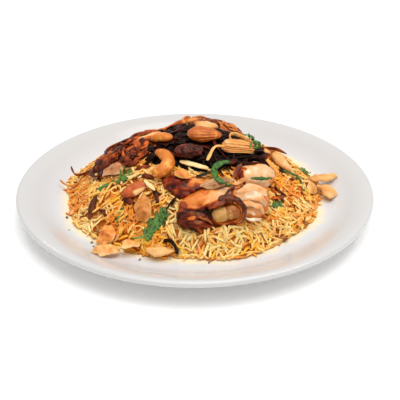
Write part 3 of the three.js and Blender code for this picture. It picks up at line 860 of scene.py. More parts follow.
def rounded_section(section, steps=5):
    """The plate's half section with each corner drawn as a short curve."""
    corners = np.array([c[:2] for c in section], float)
    line = [corners[0]]
    for i in range(1, len(section) - 1):
        here = corners[i]
        before, after = corners[i - 1] - here, corners[i + 1] - here
        trim = min(section[i][2], np.linalg.norm(before) / 2.05, np.linalg.norm(after) / 2.05)
        start, end = here + trim * unit(before), here + trim * unit(after)
        for t in np.linspace(0, 1, steps):
            line.append((1 - t) ** 2 * start + 2 * t * (1 - t) * here + t**2 * end)
    line.append(corners[-1])
    return np.array(line)


def build_plate(settings):
    section = rounded_section(PLATE_SECTION)
    under = [(radius, PLATE_SECTION[0][1]) for radius in FLAT_RADII[:0:-1]]
    well = [(radius, FLOOR_Z) for radius in FLAT_RADII]
    section = np.concatenate([section[:1], under, section[1:-1], well, section[-1:]])[::-1]
    angles = TAU * np.arange(settings.sides) / settings.sides
    turn = np.stack([np.cos(angles), np.sin(angles)], -1)
    rings = [np.column_stack([radius * turn, np.full(settings.sides, z)]) for radius, z in section[1:-1]]
    points = np.concatenate([[(0, 0, section[0][1])], *rings, [(0, 0, section[-1][1])]])
    mesh = mesh_of("plate_glazed", points, *capped_tube(len(rings), settings.sides))
    add_piece("plate_glazed", mesh, porcelain(settings), "porcelain", "plate")


# ------------------------ the rice

RICE_SHARE = 0.28  # inside this share of the mound's radius the toppings hide the rice
GRAIN_STEPS = 7
GRAIN_RUN = np.sin(np.linspace(-math.pi / 2, math.pi / 2, GRAIN_STEPS))  # along a grain, closer at its tips

# Height of the top layer's grains over the mound, and the depth of the layers.
GRAIN_TOP, GRAIN_LAYERS = 2.7, 3.8

# From how much sauce a grain is gold and from how much it is amber, and from how much saffron it is yellow.
SOAKED_FROM = (0.36, 0.68)
SAFFRON_FROM = 0.45

# Places of the rice with more sauce, or less, as (x, y, half width, amount).
RICE_SAUCE = [
    (-54, -60, 20, 0.35),
    (-90, -12, 16, 0.4),
    (-62, -41, 12, -0.25),
    (66, -20, 18, 0.4),
    (92, -4, 12, -0.15),
    (45, -64, 36, -0.24),
    (20, -84, 22, -0.12),
    (62, -34, 8, 0.4),
]

# Places of the rice with more saffron, as (x, y, half width, half depth, amount).
RICE_SAFFRON = [(-45, -82, 22, 16, 0.75), (20, -85, 30, 18, 0.25), (58, 2, 9, 9, 1.0)]


def rice_core():
    """The body under the loose grains, with a bumpy top."""

    def top(x, y):
        z = mound_height(x, y) + banked(x, y) - 1.1 + 0.5 * np.sin(x * 0.9) * np.sin(y * 0.8)
        return np.maximum(z, FLOOR_Z + GAP + 0.2)

    def outline(share, angles):
        return mound_point(share * 0.985, angles)

    return round_body(outline, top, lambda x, y: np.full_like(x, FLOOR_Z + GAP), rings=44, spokes=150)


def lay_grains(random, number, size, thick):
    """Paths of grains laid over the mound in layers, and each grain's depth from 0 on top to 1 deep down."""
    angle = random.uniform(0, TAU, number)
    share = 1.02 * np.sqrt(random.uniform(RICE_SHARE**2, 1, number))
    x, y = mound_point(share, angle)
    depth = random.uniform(0, 1, number) ** 1.15
    flow = cloud(np.column_stack([x, y, np.full(number, 3.0)]), 26)
    yaw = TAU * 0.9 * flow + random.normal(0, 1.0, number) + 0.6
    edge = np.clip((share - 0.9) / 0.1, 0, 1)
    along_foot = random.uniform(0, 1, number) < edge * 0.8
    yaw = np.where(along_foot, angle + math.pi / 2 + random.normal(0, 0.5, number), yaw)
    lift = GRAIN_TOP - GRAIN_LAYERS * depth
    grain = size * random.uniform(0.72, 1.18, number)
    pitch = random.normal(0, 0.17, number) * (1.2 - depth) * (1 - 0.6 * edge)
    bow = random.normal(0, 0.08, number) * grain
    sway = random.normal(0, 0.03, number) * grain
    u = GRAIN_RUN * grain[:, None] / 2
    v = bow[:, None] * (1 - GRAIN_RUN**2) + sway[:, None] * np.sin(math.pi * GRAIN_RUN)
    along, across = turned(u, v, yaw[:, None])
    px, py = x[:, None] + along, y[:, None] + across
    pz = mound_height(px, py) * 0.75 + mound_height(x, y)[:, None] * 0.25 + banked(px, py)
    pz = pz + lift[:, None] + u * np.tan(pitch)[:, None] - 0.25
    low = FLOOR_Z + thick / 2 + 0.1 + 1.2 * random.uniform(0, 1, number)[:, None] * (depth < 0.35)[:, None]
    return np.stack([px, py, np.maximum(pz, low)], -1), depth


def clear_grains(paths, tree, soft_tree):
    """Which grains keep clear of the toppings. A grain's end may be pressed into meat or onion."""
    kept = []
    for path in paths:
        middle, ends = path[GRAIN_STEPS // 2], (path[0], path[-1])
        inside = depth_in(tree, middle) > -1.0 or any(depth_in(tree, p) > -0.7 for p in ends)
        if not inside:
            pressed = sum(depth_in(soft_tree, p) > -0.3 for p in ends)
            inside = depth_in(soft_tree, middle) > -0.9 or pressed > 1
        kept.append(not inside)
    return np.array(kept)


def build_rice(settings):
    add_piece("rice_depths", mesh_of("rice_depths", *rice_core()), rice_core_finish(settings), "rice", "rice")
    random = np.random.default_rng(RICE_SEED)
    size, width = settings.grain_length / MM, settings.grain_width / MM
    thick = 0.84 * width
    paths, depth = lay_grains(random, settings.grains, size, thick)
    hard = solids_tree([name for name in NODES if name not in (*BARE, *SOFT, *SPRIGS)])
    kept = clear_grains(paths, hard, solids_tree(SOFT))
    paths, depth = paths[kept], depth[kept]
    number = len(paths)
    girth = np.sqrt(np.maximum(0, 1 - np.abs(GRAIN_RUN) ** 2.6)) * random.uniform(0.78, 1.14, number)[:, None]
    ups = mound_normal(paths[..., 0], paths[..., 1])
    shade = random.uniform(0, 1, number)
    middle = paths[:, GRAIN_STEPS // 2]
    region = cloud(middle + (80, 20, 0), 20)
    soak = 0.45 + 0.6 * region + random.normal(0, 0.22, number)
    soak += sum(more * blob(middle, x, y, wide, wide) for x, y, wide, more in RICE_SAUCE)
    yellow = 0.4 * region + sum(more * blob(middle, *patch) for *patch, more in RICE_SAFFRON)
    kind = np.digitize(soak, SOAKED_FROM)
    kind[yellow + random.normal(0, 0.25, number) > SAFFRON_FROM] = -1
    plain = {"grains_pale": settings.pale, "grains_gold": settings.gold, "grains_amber": settings.amber}
    for k, (name, base) in enumerate({"grains_saffron": settings.saffron, **plain}.items(), -1):
        chosen = kind == k
        half = girth[chosen] * width / 2
        flat = half * thick / width
        points, quads, triangles, item, _ = swept(paths[chosen], half, flat, ups[chosen], sides=6)
        points[:, 2] = np.maximum(points[:, 2], FLOOR_Z + 0.08)
        numbers = {"shade": shade[chosen][item], "depth": depth[chosen][item]}
        mesh = mesh_of(name, points, quads, triangles, numbers)
        add_piece(name, mesh, rice_finish(name, base, settings.shade, settings.amber), "rice")


# ------------------------ the fried onion

STRAND_STEPS = 12


def strand_paths(random, heap, number, size, curl, lift, heading, spread):
    """Curling paths over a heap, with the height of their middles over it."""
    share = 0.94 * np.sqrt(random.uniform(0, 1, number))
    angle = random.uniform(0, TAU, number)
    x, y = heap_point(heap, share, angle)
    heading = heading + random.normal(0, spread, number)
    long = size * random.uniform(0.45, 1.25, number)
    bend = random.normal(0, curl, number)
    twist = random.normal(0, curl, number)
    phase = random.uniform(0, TAU, number)
    t = np.linspace(-0.5, 0.5, STRAND_STEPS)
    turn = heading[:, None] + bend[:, None] * t + 0.8 * twist[:, None] * np.sin(TAU * t + phase[:, None])
    walk = np.cumsum(np.stack([np.cos(turn), np.sin(turn)]) * long[:, None] / (STRAND_STEPS - 1), axis=-1)
    px, py = np.stack([x, y])[..., None] + walk - walk[..., -1:] / 2
    level = random.uniform(0, 1, number)
    arch = random.uniform(-0.6, lift, number)
    curl_up = np.maximum(0, random.normal(0, 1.3, number))
    over = (level * 2.4)[:, None] + arch[:, None] * (1 - (2 * t) ** 2)
    over += curl_up[:, None] * (2 * np.abs(t)) ** 3
    pz = pile_height(px, py) * 0.8 + pile_height(x, y)[:, None] * 0.2 + over - 0.9
    return np.stack([px, py, pz], -1), level


def clear_strands(paths, tree):
    return np.array([sum(depth_in(tree, p) > -0.8 for p in path[::2]) < 1 for path in paths])


def heap_core(heap):
    return round_body(
        lambda share, angles: heap_point(heap, share * 0.97, angles),
        lambda x, y: heap_height(heap, x, y) - 1.6,
        lambda x, y: mound_height(x, y) - 1.5,
        rings=12,
        spokes=48,
    )


def strand_mesh(name, random, paths, widths, shades, level):
    """Flat, tapering, slightly twisted strands."""
    number, steps = paths.shape[:2]
    t = np.linspace(-1, 1, steps)
    taper = np.maximum(0, 1 - np.abs(t) ** 4.5) ** 0.5
    wave = 1 + 0.18 * np.sin(5 * t[None] + random.uniform(0, TAU, number)[:, None])
    half = taper * wave * widths[:, None] / 2
    ups = mound_normal(paths[..., 0], paths[..., 1])
    lean = random.normal(0, 0.5, number)[:, None] + random.normal(0, 0.5, number)[:, None] * t
    along = unit(np.gradient(paths, axis=1))
    ups = ups * np.cos(lean)[..., None] + np.cross(along, ups) * np.sin(lean)[..., None]
    points, quads, triangles, item, share = swept(paths, half, half * 0.42, ups, sides=8)
    # Strands that lie higher in their heap are lighter, lower ones darker: painted light and shade.
    shade = shades[item] + 0.16 * np.sin(9 * share + 5 * shades[item]) + 0.3 * (level[item] - 0.5)
    return mesh_of(name, points, quads, triangles, {"shade": np.clip(shade, 0, 1)})


def build_heap(name, finish, core, slot, size, number, width, curl, tones, seed, lift, heading, spread):
    """A heap of fried strands over its core, with the long strands that lie on it."""
    random = np.random.default_rng(seed)
    # The core takes the dark onion finish: painted shade seen between the strands, the onions' own colour only
    # in the dark heap.
    add_piece(name + "_core", mesh_of(name + "_core", *heap_core(HEAPS[name])), core, slot)
    hard = solids_tree([node for node in NODES if node not in (*BARE, *HEAPS, *SPRIGS)])
    paths, level = strand_paths(random, HEAPS[name], number, size, curl, lift, heading, spread)
    kept = clear_strands(paths, hard)
    paths, level = paths[kept], level[kept]
    widths = width * random.uniform(0.6, 1.25, len(paths))
    paler = np.clip((paths[:, STRAND_STEPS // 2 - 1, 0] - 42) / 12, 0, 1)  # towards the right of the dish
    shades = random.uniform(*tones, len(paths)) + 0.35 * paler
    rows = [row[1:] for row in LONG_STRANDS if row[0] == name]
    paths = np.concatenate([paths, [smooth_line(row[2], STRAND_STEPS, passes=2) for row in rows]])
    widths = np.append(widths, [row[0] for row in rows])
    shades = np.append(shades, [row[1] for row in rows])
    level = np.append(level, np.full(len(rows), 0.5))
    mesh = strand_mesh(name + "_strands", random, paths, widths, shades, level)
    add_piece(name + "_strands", mesh, finish, slot, name)
    return random


def build_onions(settings):
    dark = onion_finish("onion_dark", settings.dark, rgb(36, 11, 10), rgb(120, 38, 20), gloss=0.16, shine=0.1)
    back = onion_finish("onion_golden_brown", rgb(64, 22, 10), rgb(166, 78, 30), rgb(232, 148, 76), gloss=0.28)
    red = onion_finish("onion_red", rgb(34, 9, 5), settings.red, rgb(220, 100, 30), gloss=0.26)
    # Each heap's finish and slot, then the number of strands, their width, curl, tones and seed, how far they
    # rise, where they point and by how much that varies.
    plans = {
        "onions_dark": (dark, "dark_onion", 300, 3.7, 1.1, (0.0, 0.65), 3, 1.6, 0.1, 1.1),
        "onions_red": (red, "red_onion", 180, 4.7, 1.0, (0.0, 0.9), 4, 2.4, 0.8, 0.6),
        "onions_back": (back, "red_onion", 170, 4.0, 1.0, (0.05, 1.0), 5, 2.0, 0.0, 3.0),
    }
    # Every heap's core is given the dark finish as painted shade between its strands.
    for name, (finish, slot, *shape) in plans.items():
        random = build_heap(name, finish, dark, slot, settings.strand_length / MM, *shape)

    widths, shades = (np.array([row[k] for row in LOOSE_STRANDS]) for k in (0, 1))
    x, y = np.array([smooth_line(row[2], STRAND_STEPS).T for row in LOOSE_STRANDS]).swapaxes(0, 1)
    height = mound_height(x, y) + banked(x, y) + 2.3 + 0.8 * np.sin(math.pi * np.linspace(0, 1, STRAND_STEPS))
    level = np.full(len(widths), 0.5)
    mesh = strand_mesh("onions_loose", random, np.dstack([x, y, height]), widths, shades, level)
    add_piece("onions_loose", mesh, red, "red_onion")


# ------------------------ the chicken

BONE_X, BONE_Y = 3, -10  # middle of the bone's end, in the thigh's own frame
FLAP_STEPS, FLAP_SIDES = 14, 12

# The chicken's patches of tone in a piece's own frame, each as (x, y, half length, half width, turn, tone).
# Tones go from browned skin (0) through red meat, orange skin and peach to cream flesh (1).
THIGH_PATCHES = [
    (-22, -9, 15, 10, 0, 0.06),
    (-16, -14, 6, 2.4, -10, 0.3),
    (-24, -9, 3, 2, 0, 0.4),
    (3, -19, 13, 4, 0, 0.2),
    (-18, 3, 15, 5, 10, 0.58),
    (-29, 0, 5, 4, 0, 0.28),
    (-4, 5, 10, 6, 20, 0.74),
    (6, 11, 9, 4, 20, 0.8),
    (22, 1, 13, 12, 0, 0.74),
    (8, 8, 7, 1.3, 45, 0.2),
    # This patch is painted shade over the thigh's lower right end.
    (33, -7, 6, 8, 0, 0.5),
]

LEG_PATCHES = [
    (-10, -2, 10, 9, 0, 0.18),
    (1, 2, 6, 4, 20, 0.46),
    (11, 6, 8, 4.5, 10, 0.62),
    (4, -6, 10, 3, 0, 0.2),
]

BREAST_PATCHES = [
    (-17, -5, 2.6, 8, -20, 0.2),
    (-12.5, 4, 1.6, 5, 30, 0.34),
    # This patch is a painted highlight on the breast.
    (-9.5, -1, 2, 2.6, 0, 0.95),
    (4, 9, 10, 3, 10, 0.58),
    (12, -8, 6, 4, -30, 0.6),
]

# Torn flaps over a piece, each as (width, tone, points in the piece's own frame).
THIGH_FLAPS = [
    (9.0, 0.79, [(9, 6, 11), (17, 9, 12), (26, 8, 10), (33, 3, 6)]),
    (7.5, 0.85, [(11, 0, 12), (18, 3, 13), (26, 1, 10), (32, -4, 7)]),
    (5.5, 0.74, [(12, -4, 11), (19, -3, 11.5), (25, -5, 9), (30, -9, 6)]),
    (3.6, 0.79, [(13, -8, 10), (18, -8, 10), (23, -10, 8)]),
    (2.8, 0.94, [(14, -12, 9), (18.5, -14, 8.5), (24, -14, 8), (27, -13, 7)]),
    (2.0, 0.14, [(1, 5, 12), (5, 9, 12.5), (11, 13, 10)]),
    (2.4, 0.14, [(-2, 13, 8), (5, 15.5, 7), (13, 16, 5)]),
    (4.0, 0.15, [(-30, -8, 8), (-22, -7, 9), (-13, -9, 9)]),
    (3.6, 0.18, [(-28, -13, 7), (-20, -14, 8), (-12, -16, 7)]),
    (2.6, 0.3, [(-20, -10, 9), (-13, -12, 9), (-9, -15, 8)]),
    (5.0, 0.26, [(-12, -6, 12.5), (-5, -4.5, 13.5), (1, -2.5, 14)]),
]

BREAST_FLAPS = [
    (4.6, 0.16, [(-13, 7, 10), (-18, 2, 7), (-22, -4, 4)]),
    (3.6, 0.74, [(-13, -6, 9), (-19, -8, 6), (-25, -9, 3.5)]),
]


def meat_mesh(detail, node):
    """A solid's mesh made fine and even, with its facets smoothed away."""
    remesh = {"mode": "VOXEL", "voxel_size": detail}
    return shaped(joined_solid(node), ("REMESH", remesh), ("SMOOTH", {"factor": 0.5, "iterations": 9}))


def beside(own, start, end):
    """How far points lie from a line of the plan, where they pass between its ends (1) or past them (0)."""
    across, up = end[0] - start[0], end[1] - start[1]
    long = math.hypot(across, up)
    dx, dy = own[:, 0] - start[0], own[:, 1] - start[1]
    share = (dx * across + dy * up) / long**2
    within = np.clip(share * 6, 0, 1) * np.clip((1 - share) * 6, 0, 1)
    return (dy * across - dx * up) / long, within


def painted(own, patches, base, seed):
    """Tones at points of a piece's own frame, from soft ragged patches laid one over the other."""
    ragged = own + np.column_stack([cloud(own, 7, seed), cloud(own, 7, seed + 3), np.zeros(len(own))]) * 3.2
    tone = np.full(len(own), float(base))
    for x, y, half_long, half_wide, turn, patch in patches:
        along, across = turned(ragged[:, 0] - x, ragged[:, 1] - y, -math.radians(turn))
        weight = np.clip((1.25 - np.hypot(along / half_long, across / half_wide)) / 0.5, 0, 1)
        tone += (patch - tone) * weight * weight * (3 - 2 * weight)
    return tone


def build_meat(node, place, patches, base, seed, settings, finish, slot, shape):
    """A piece of chicken: shape gives the lift, the olive tone and a change of its tone, which hold painted
    light and shade.
    """
    mesh = meat_mesh(settings.detail, node)
    own = own_points(points_of(mesh), place)
    lift, olive, change = shape(own)
    push_out(mesh, lift)
    set_attributes(mesh, {"tone": painted(own, patches, base, seed) + change, "olive": olive})
    add_piece(node + "_meat", mesh, finish, slot, node)
    return mesh


def thigh_shape(own):
    x, y, z = own.T
    flesh = np.clip((x - 9) / 6, 0, 1) * np.clip((np.hypot(x - BONE_X, y + 9) - 10) / 4, 0, 1)
    left = np.clip((-6 - x) / 6, 0, 1) * np.clip(-y / 4, 0, 1)
    wrinkle = folds(own * np.array([0.7, 1.3, 1.0]), 5.5, 4)
    out, within = beside(own, (-31, -2), (-6, -8.5))
    crease = within * np.exp(-(((out + cloud(own, 5, 2)) / 1.4) ** 2)) * np.clip(z / 4, 0, 1)
    lift = -0.5 * flesh + left * (1.9 * wrinkle - 0.9) - 1.9 * crease
    lift += 0.5 * cloud(own, 6, 5) + 0.2 * cloud(own, 2.2, 6)
    # The change of tone is painted light and shade: lighter on the tops of the left side's wrinkles and darker
    # in their troughs, darker in the crease and towards the thigh's lowest parts.
    change = 0.3 * left * (wrinkle - 0.5) - 0.2 * np.clip((1 - z) / 6, 0, 1) - 0.3 * crease
    return lift, np.clip(flesh * cloud(own, 6, 3), 0, 0.6), change


def leg_shape(own):
    wrinkle = folds(own * np.array([0.7, 1.3, 1.0]), 6, 9)
    lift = 0.9 * wrinkle - 0.4 + 0.9 * cloud(own, 3.4, 3)
    # The tone follows the wrinkles: painted light on their tops, painted shade in their troughs.
    return lift, np.zeros(len(own)), 0.22 * (wrinkle - 0.5) + 0.2 * cloud(own, 4, 1)


def breast_shape(own):
    lift = 0.8 * cloud(own, 8, 5) + 0.35 * cloud(own, 3, 6)
    # Towards the breast's underside its tone is darker and more olive: painted shade.
    low = np.clip((0.5 - own[:, 2]) / 4, 0, 1)
    return lift, 0.5 * low, 0.1 * cloud(own, 6, 8) - 0.2 * low


def lay_flaps(name, mesh, place, rows, finish, slot):
    """Torn flaps of meat that lie over a piece."""
    tree = tree_of([mesh])
    normal = place.to_3x3() @ Vector((0, 0, 1))
    rise = 0.2 + 0.5 * np.sin(math.pi * np.linspace(0, 1, FLAP_STEPS))
    lines = [zip(smooth_line(row[2], FLAP_STEPS), rise) for row in rows]
    paths = np.array([[tuple(on_surface(tree, *p, place) + normal * k) for p, k in line] for line in lines])
    widths, tones = np.array([row[0] for row in rows])[:, None], np.array([row[1] for row in rows])
    t = np.linspace(-1, 1, FLAP_STEPS)
    half = np.maximum(0, 1 - np.abs(t) ** 2.4) ** 0.6 * widths / 2 * (1 + 0.12 * np.sin(7 * t + widths))
    ups = np.broadcast_to(np.array(normal), paths.shape)
    thick = half * 0.12 + 0.3 * (half > 0.1)
    points, quads, triangles, item, _ = swept(paths, half, thick, ups, FLAP_SIDES)
    mesh = subdivided(mesh_of("flaps", points, quads, triangles))
    fine = points_of(mesh)
    push_out(mesh, 0.4 * cloud(fine, 4.5, 4))
    near = np.array([np.argmin(np.sum((points[::FLAP_SIDES] - p) ** 2, 1)) for p in fine])
    tone = tones[item[::FLAP_SIDES][near]] + 0.2 * cloud(fine, 5, 2)
    set_attributes(mesh, {"tone": tone, "olive": np.clip(cloud(fine, 5, 7) * 1.2, 0, 0.5)})
    add_piece(name, mesh, finish, slot)


def skin_ring(mesh, place, finish):
    """The curled edge of the skin over the bone's end."""
    tree = tree_of([mesh])
    steps = 40
    random = np.random.default_rng(RING_SEED)
    up = np.array(place.to_3x3())[:, 2]
    t = np.linspace(0, 1, steps)
    angle = math.radians(140) - t * math.radians(200)
    wobble = 1 + 0.05 * np.sin(3 * angle + 1) + 0.03 * np.sin(7 * angle)
    x, y = BONE_X + 10.4 * wobble * np.cos(angle), BONE_Y + 10.2 * wobble * np.sin(angle)
    path = np.array([tuple(on_surface(tree, *p, place)) for p in zip(x, y, 12.5 + 1.5 * np.sin(angle))])
    path += up * 0.9
    path[1:-1] = (path[:-2] + 2 * path[1:-1] + path[2:]) / 4
    top = np.maximum(0, np.sin(angle - 0.2))
    wide = 1.5 + 1.6 * top + 0.3 * np.sin(5 * angle) + 0.2 * random.normal(0, 1, steps)
    half = wide * np.maximum(0, 1 - np.abs(2 * t - 1) ** 3.5) ** 0.5
    ups = np.broadcast_to(up, path.shape)
    points, quads, triangles, _, _ = swept(path[None], half[None], half[None] * 0.5, ups[None], sides=14)
    mesh = subdivided(mesh_of("ring", points, quads, triangles))
    points = points_of(mesh)
    own = own_points(points, place)
    push_out(mesh, 0.4 * cloud(points, 2.6, 3) + 0.5 * folds(own * [0.4, 1, 1], 3, 8))
    out = np.hypot(own[:, 0] - BONE_X, own[:, 1] - BONE_Y)
    low = np.clip((4 + BONE_Y - own[:, 1]) / 12, 0, 1)
    # The sine term lays lighter and darker bands along the ring: painted highlights.
    tone = 0.1 + 0.2 * low + 0.1 * np.sin(out * 2.2 + 1.5 * cloud(points, 6, 5)) + 0.1 * cloud(points, 3.5, 2)
    set_attributes(mesh, {"tone": tone, "olive": 0.1 + 0.4 * low})
    add_piece("chicken_skin_ring", mesh, finish, "chicken_skin")


def build_bone(settings):
    mesh = meat_mesh(settings.detail * 0.8, "chicken_bone")
    points = points_of(mesh)
    seam = own_points(points, place_on_mound(*THIGH_PLACE))[:, 0] - 1 + 2.5 * cloud(points, 4, 8)
    push_out(mesh, 0.9 * cloud(points, 3.5, 1) + 0.35 * cloud(points, 1.4, 2) + 0.5)
    brown = np.clip(seam / 9, 0, 0.6) + 0.8 * np.clip(1 - np.abs(seam) / 2.2, 0, 1)
    set_attributes(mesh, {"tone": brown})
    add_piece("chicken_bone_end", mesh, bone_finish(settings), "bone", "chicken_bone")


def build_chicken(settings):
    finish = meat_finish(settings)
    skin, meat = "chicken_skin", "chicken_meat"
    place = place_on_mound(*THIGH_PLACE)
    thigh = build_meat("chicken_thigh", place, THIGH_PATCHES, 0.45, 1, settings, finish, skin, thigh_shape)
    lay_flaps("chicken_thigh_flaps", thigh, place, THIGH_FLAPS, finish, skin)
    skin_ring(thigh, place, finish)
    place = place_on_mound(*LEG_PLACE)
    build_meat("chicken_leg", place, LEG_PATCHES, 0.3, 5, settings, finish, skin, leg_shape)
    place = place_on_mound(*BREAST_PLACE)
    breast = build_meat("chicken_breast", place, BREAST_PATCHES, 0.82, 9, settings, finish, meat, breast_shape)
    lay_flaps("chicken_breast_flaps", breast, place, BREAST_FLAPS, finish, meat)
    build_bone(settings)


# ------------------------ nuts, petals and strips


def long_frame(points, yaw):
    """A piece's middle and its own axes: along it, across it and up, and its half sizes on them."""
    middle = (points.max(0) + points.min(0)) / 2
    _, _, axes = np.linalg.svd(points - points.mean(0), full_matrices=False)
    hint = np.array([math.cos(math.radians(yaw)), math.sin(math.radians(yaw)), 0])
    if axes[0] @ hint < 0:
        axes[0] = -axes[0]
    if axes[2][2] < 0:
        axes[2] = -axes[2]
    axes[1] = np.cross(axes[2], axes[0])
    own = (points - middle) @ axes.T
    half = (own.max(0) - own.min(0)) / 2
    shift = (own.max(0) + own.min(0)) / 2
    return middle + shift @ axes, axes, half


def build_nut(node, finish, slot, yaw, streak_count, furrow, swell, seed):
    mesh = rounded_solid(node)
    points = points_of(mesh)
    middle, axes, half = long_frame(points, yaw)
    along, across, up = (((points - middle) @ axes.T) / half).T
    wave = streak_count * np.arctan2(up, across) + 2.5 * cloud(points, 6, seed) + 1.5 * along
    streak = (0.5 + 0.5 * np.sin(wave)) * np.clip(1.15 - np.abs(along), 0, 1)
    push_out(mesh, swell - furrow * streak + 0.55 * cloud(points, 5, seed) + 0.12 * cloud(points, 1.4, seed))
    cut = np.clip(-5 * across - 2.1, 0, 1) * np.clip(5 * along + 1.2, 0, 1)
    set_attributes(mesh, {"ends": np.hypot(along, 0.5 * across), "streak": streak, "cut": cut})
    add_piece(node + "_kernel", mesh, finish, slot, node)


def build_layers(node, finish, slot, yaw, seed):
    """A nut split into thin layers that lie stacked and slightly fanned in the space of its solid."""
    random = np.random.default_rng(seed)
    middle, axes, half = long_frame(points_of(NODES[node].data), yaw)
    steps, layers = 15, 5
    t = np.linspace(-1, 1, steps)
    paths, widths = [], []
    for k in range(layers):
        level = (k + 0.5) / layers * 2 - 1
        across = 0.5 * half[1] * level + random.normal(0, 0.4)
        reach = half[0] * (1.04 - 0.07 * abs(level + 0.2) + random.uniform(-0.05, 0.03))
        long = reach * t + random.normal(0, 0.5)
        bow = 0.22 * half[1] * (1 - t**2) + 0.3 * np.sin(2.2 * t + k)
        own = np.column_stack([long, across + bow, 0.85 * half[2] * level + 1.0 * (1 - t**2)])
        paths.append(own @ axes + middle)
        taper = np.maximum(0, 1 - np.abs(t) ** 2.4) ** 0.7 * (1 - 0.25 * t)
        widths.append(half[1] * random.uniform(0.55, 0.7) * taper)
    paths, widths = np.array(paths), np.array(widths)
    thick = np.minimum(widths, widths * 0.08 + half[2] * 0.17)
    ups = np.broadcast_to(axes[2], paths.shape)
    mesh = subdivided(mesh_of(node, *swept(paths, widths, thick, ups, sides=12)[:3]))
    fine = points_of(mesh)
    along, across, _ = (((fine - middle) @ axes.T) / half).T
    push_out(mesh, 0.35 * cloud(fine, 4, seed))
    streak = np.clip(0.5 + 0.5 * np.sin(across * 15 + cloud(fine, 7, seed) * 3), 0, 1)
    set_attributes(mesh, {"ends": np.abs(along) + 0.2 * cloud(fine, 5, 3), "streak": streak})
    add_piece(node + "_layers", mesh, finish, slot, node)


def build_nuts(settings):
    cashew = nut_finish("cashew_fried", settings.cashew, rgb(180, 84, 22), gloss=0.16, pale=rgb(242, 172, 74))
    pale = nut_finish(
        "almond_blanched", settings.pale, rgb(216, 136, 66), streaks=0.12, pale=rgb(250, 208, 150)
    )
    brown = nut_finish(
        "almond_in_skin", settings.brown, rgb(156, 70, 22), streaks=0.75, pale=rgb(240, 164, 68)
    )
    gold = nut_finish(
        "almond_golden", rgb(240, 166, 86), rgb(186, 98, 36), streaks=0.45, pale=rgb(252, 206, 138)
    )
    tones = {"pale": rgb(232, 138, 66), "cut": rgb(250, 200, 134)}
    left = nut_finish("almond_dark", rgb(204, 92, 34), rgb(130, 48, 18), streaks=0.35, **tones)
    cream = nut_finish("almond_sliver", rgb(252, 222, 160), rgb(236, 180, 104), streaks=0.1, gloss=0.36)
    # Each nut's finish, slot, yaw, number of streaks, depth of its furrows and swelling.
    plans = [
        ("cashew_large", cashew, "cashew", 0, 3, 0.1, 0.35),
        ("cashew_small", cashew, "cashew", 0, 3, 0.1, 0.3),
        ("cashew_back", cashew, "cashew", 0, 3, 0.1, 0.3),
        ("almond_top_brown", brown, "almond_skin", 2, 13, 0.9, 0.6),
        ("almond_top_pale", pale, "pale_nut", 10, 9, 0.12, 0.35),
        ("almond_right", pale, "pale_nut", -25, 9, 0.15, 0.35),
        ("almond_left", left, "almond_skin", 18, 12, 0.4, 0.3),
        ("nut_small", pale, "pale_nut", 20, 6, 0.1, 0.25),
        ("almond_back", brown, "almond_skin", 150, 16, 0.45, 0.35),
        ("sliver_white", cream, "pale_nut", 0, 2, 0.1, 0.1),
        ("sliver_left", cream, "pale_nut", 0, 2, 0.1, 0.1),
        ("sliver_shoulder", pale, "pale_nut", 0, 2, 0.1, 0.1),
        ("sliver_brown", brown, "almond_skin", 0, 4, 0.1, 0.1),
        ("sliver_back", cream, "pale_nut", 0, 2, 0.1, 0.1),
    ]
    for seed, plan in enumerate(plans):
        build_nut(*plan, seed)
    build_layers("almond_gold", gold, "almond_skin", 14, 3)


def build_soft(node, finish, slot, yaw, ruffle, ragged, thin, seed):
    """A petal or flake: thinner than its solid, with an uneven edge and a rumpled face."""
    mesh = rounded_solid(node)
    points = points_of(mesh)
    middle, axes, half = long_frame(points, yaw)
    own = (points - middle) @ axes.T
    along, across, _ = (own / half).T
    edge, angle = np.hypot(along, across), np.arctan2(across, along)
    ring = np.column_stack([np.cos(angle), np.sin(angle), np.zeros(len(angle))])
    own[:, :2] *= (1 + ragged * cloud(ring, 0.6, seed) * np.clip(edge * 1.6 - 0.5, 0, 1))[:, None]
    dome = half[2] * 0.7 * (1 - 1.4 * edge**2)
    own[:, 2] = dome + (own[:, 2] - dome) * thin
    flat = own * np.array([1, 1, 0.1])
    rumple = cloud(flat, 6, seed) + 0.5 * (folds(flat, 6.5, seed + 2) - 0.5)
    rumple += 0.15 * cloud(flat, 2.2, seed + 9)
    own[:, 2] += ruffle * rumple
    set_points(mesh, own @ axes + middle)
    streak = 0.5 + 0.5 * np.sin(across * 13 + 2 * cloud(own, 8, seed))
    set_attributes(mesh, {"ends": edge, "streak": streak})
    add_piece(node + "_layer", mesh, finish, slot, node)


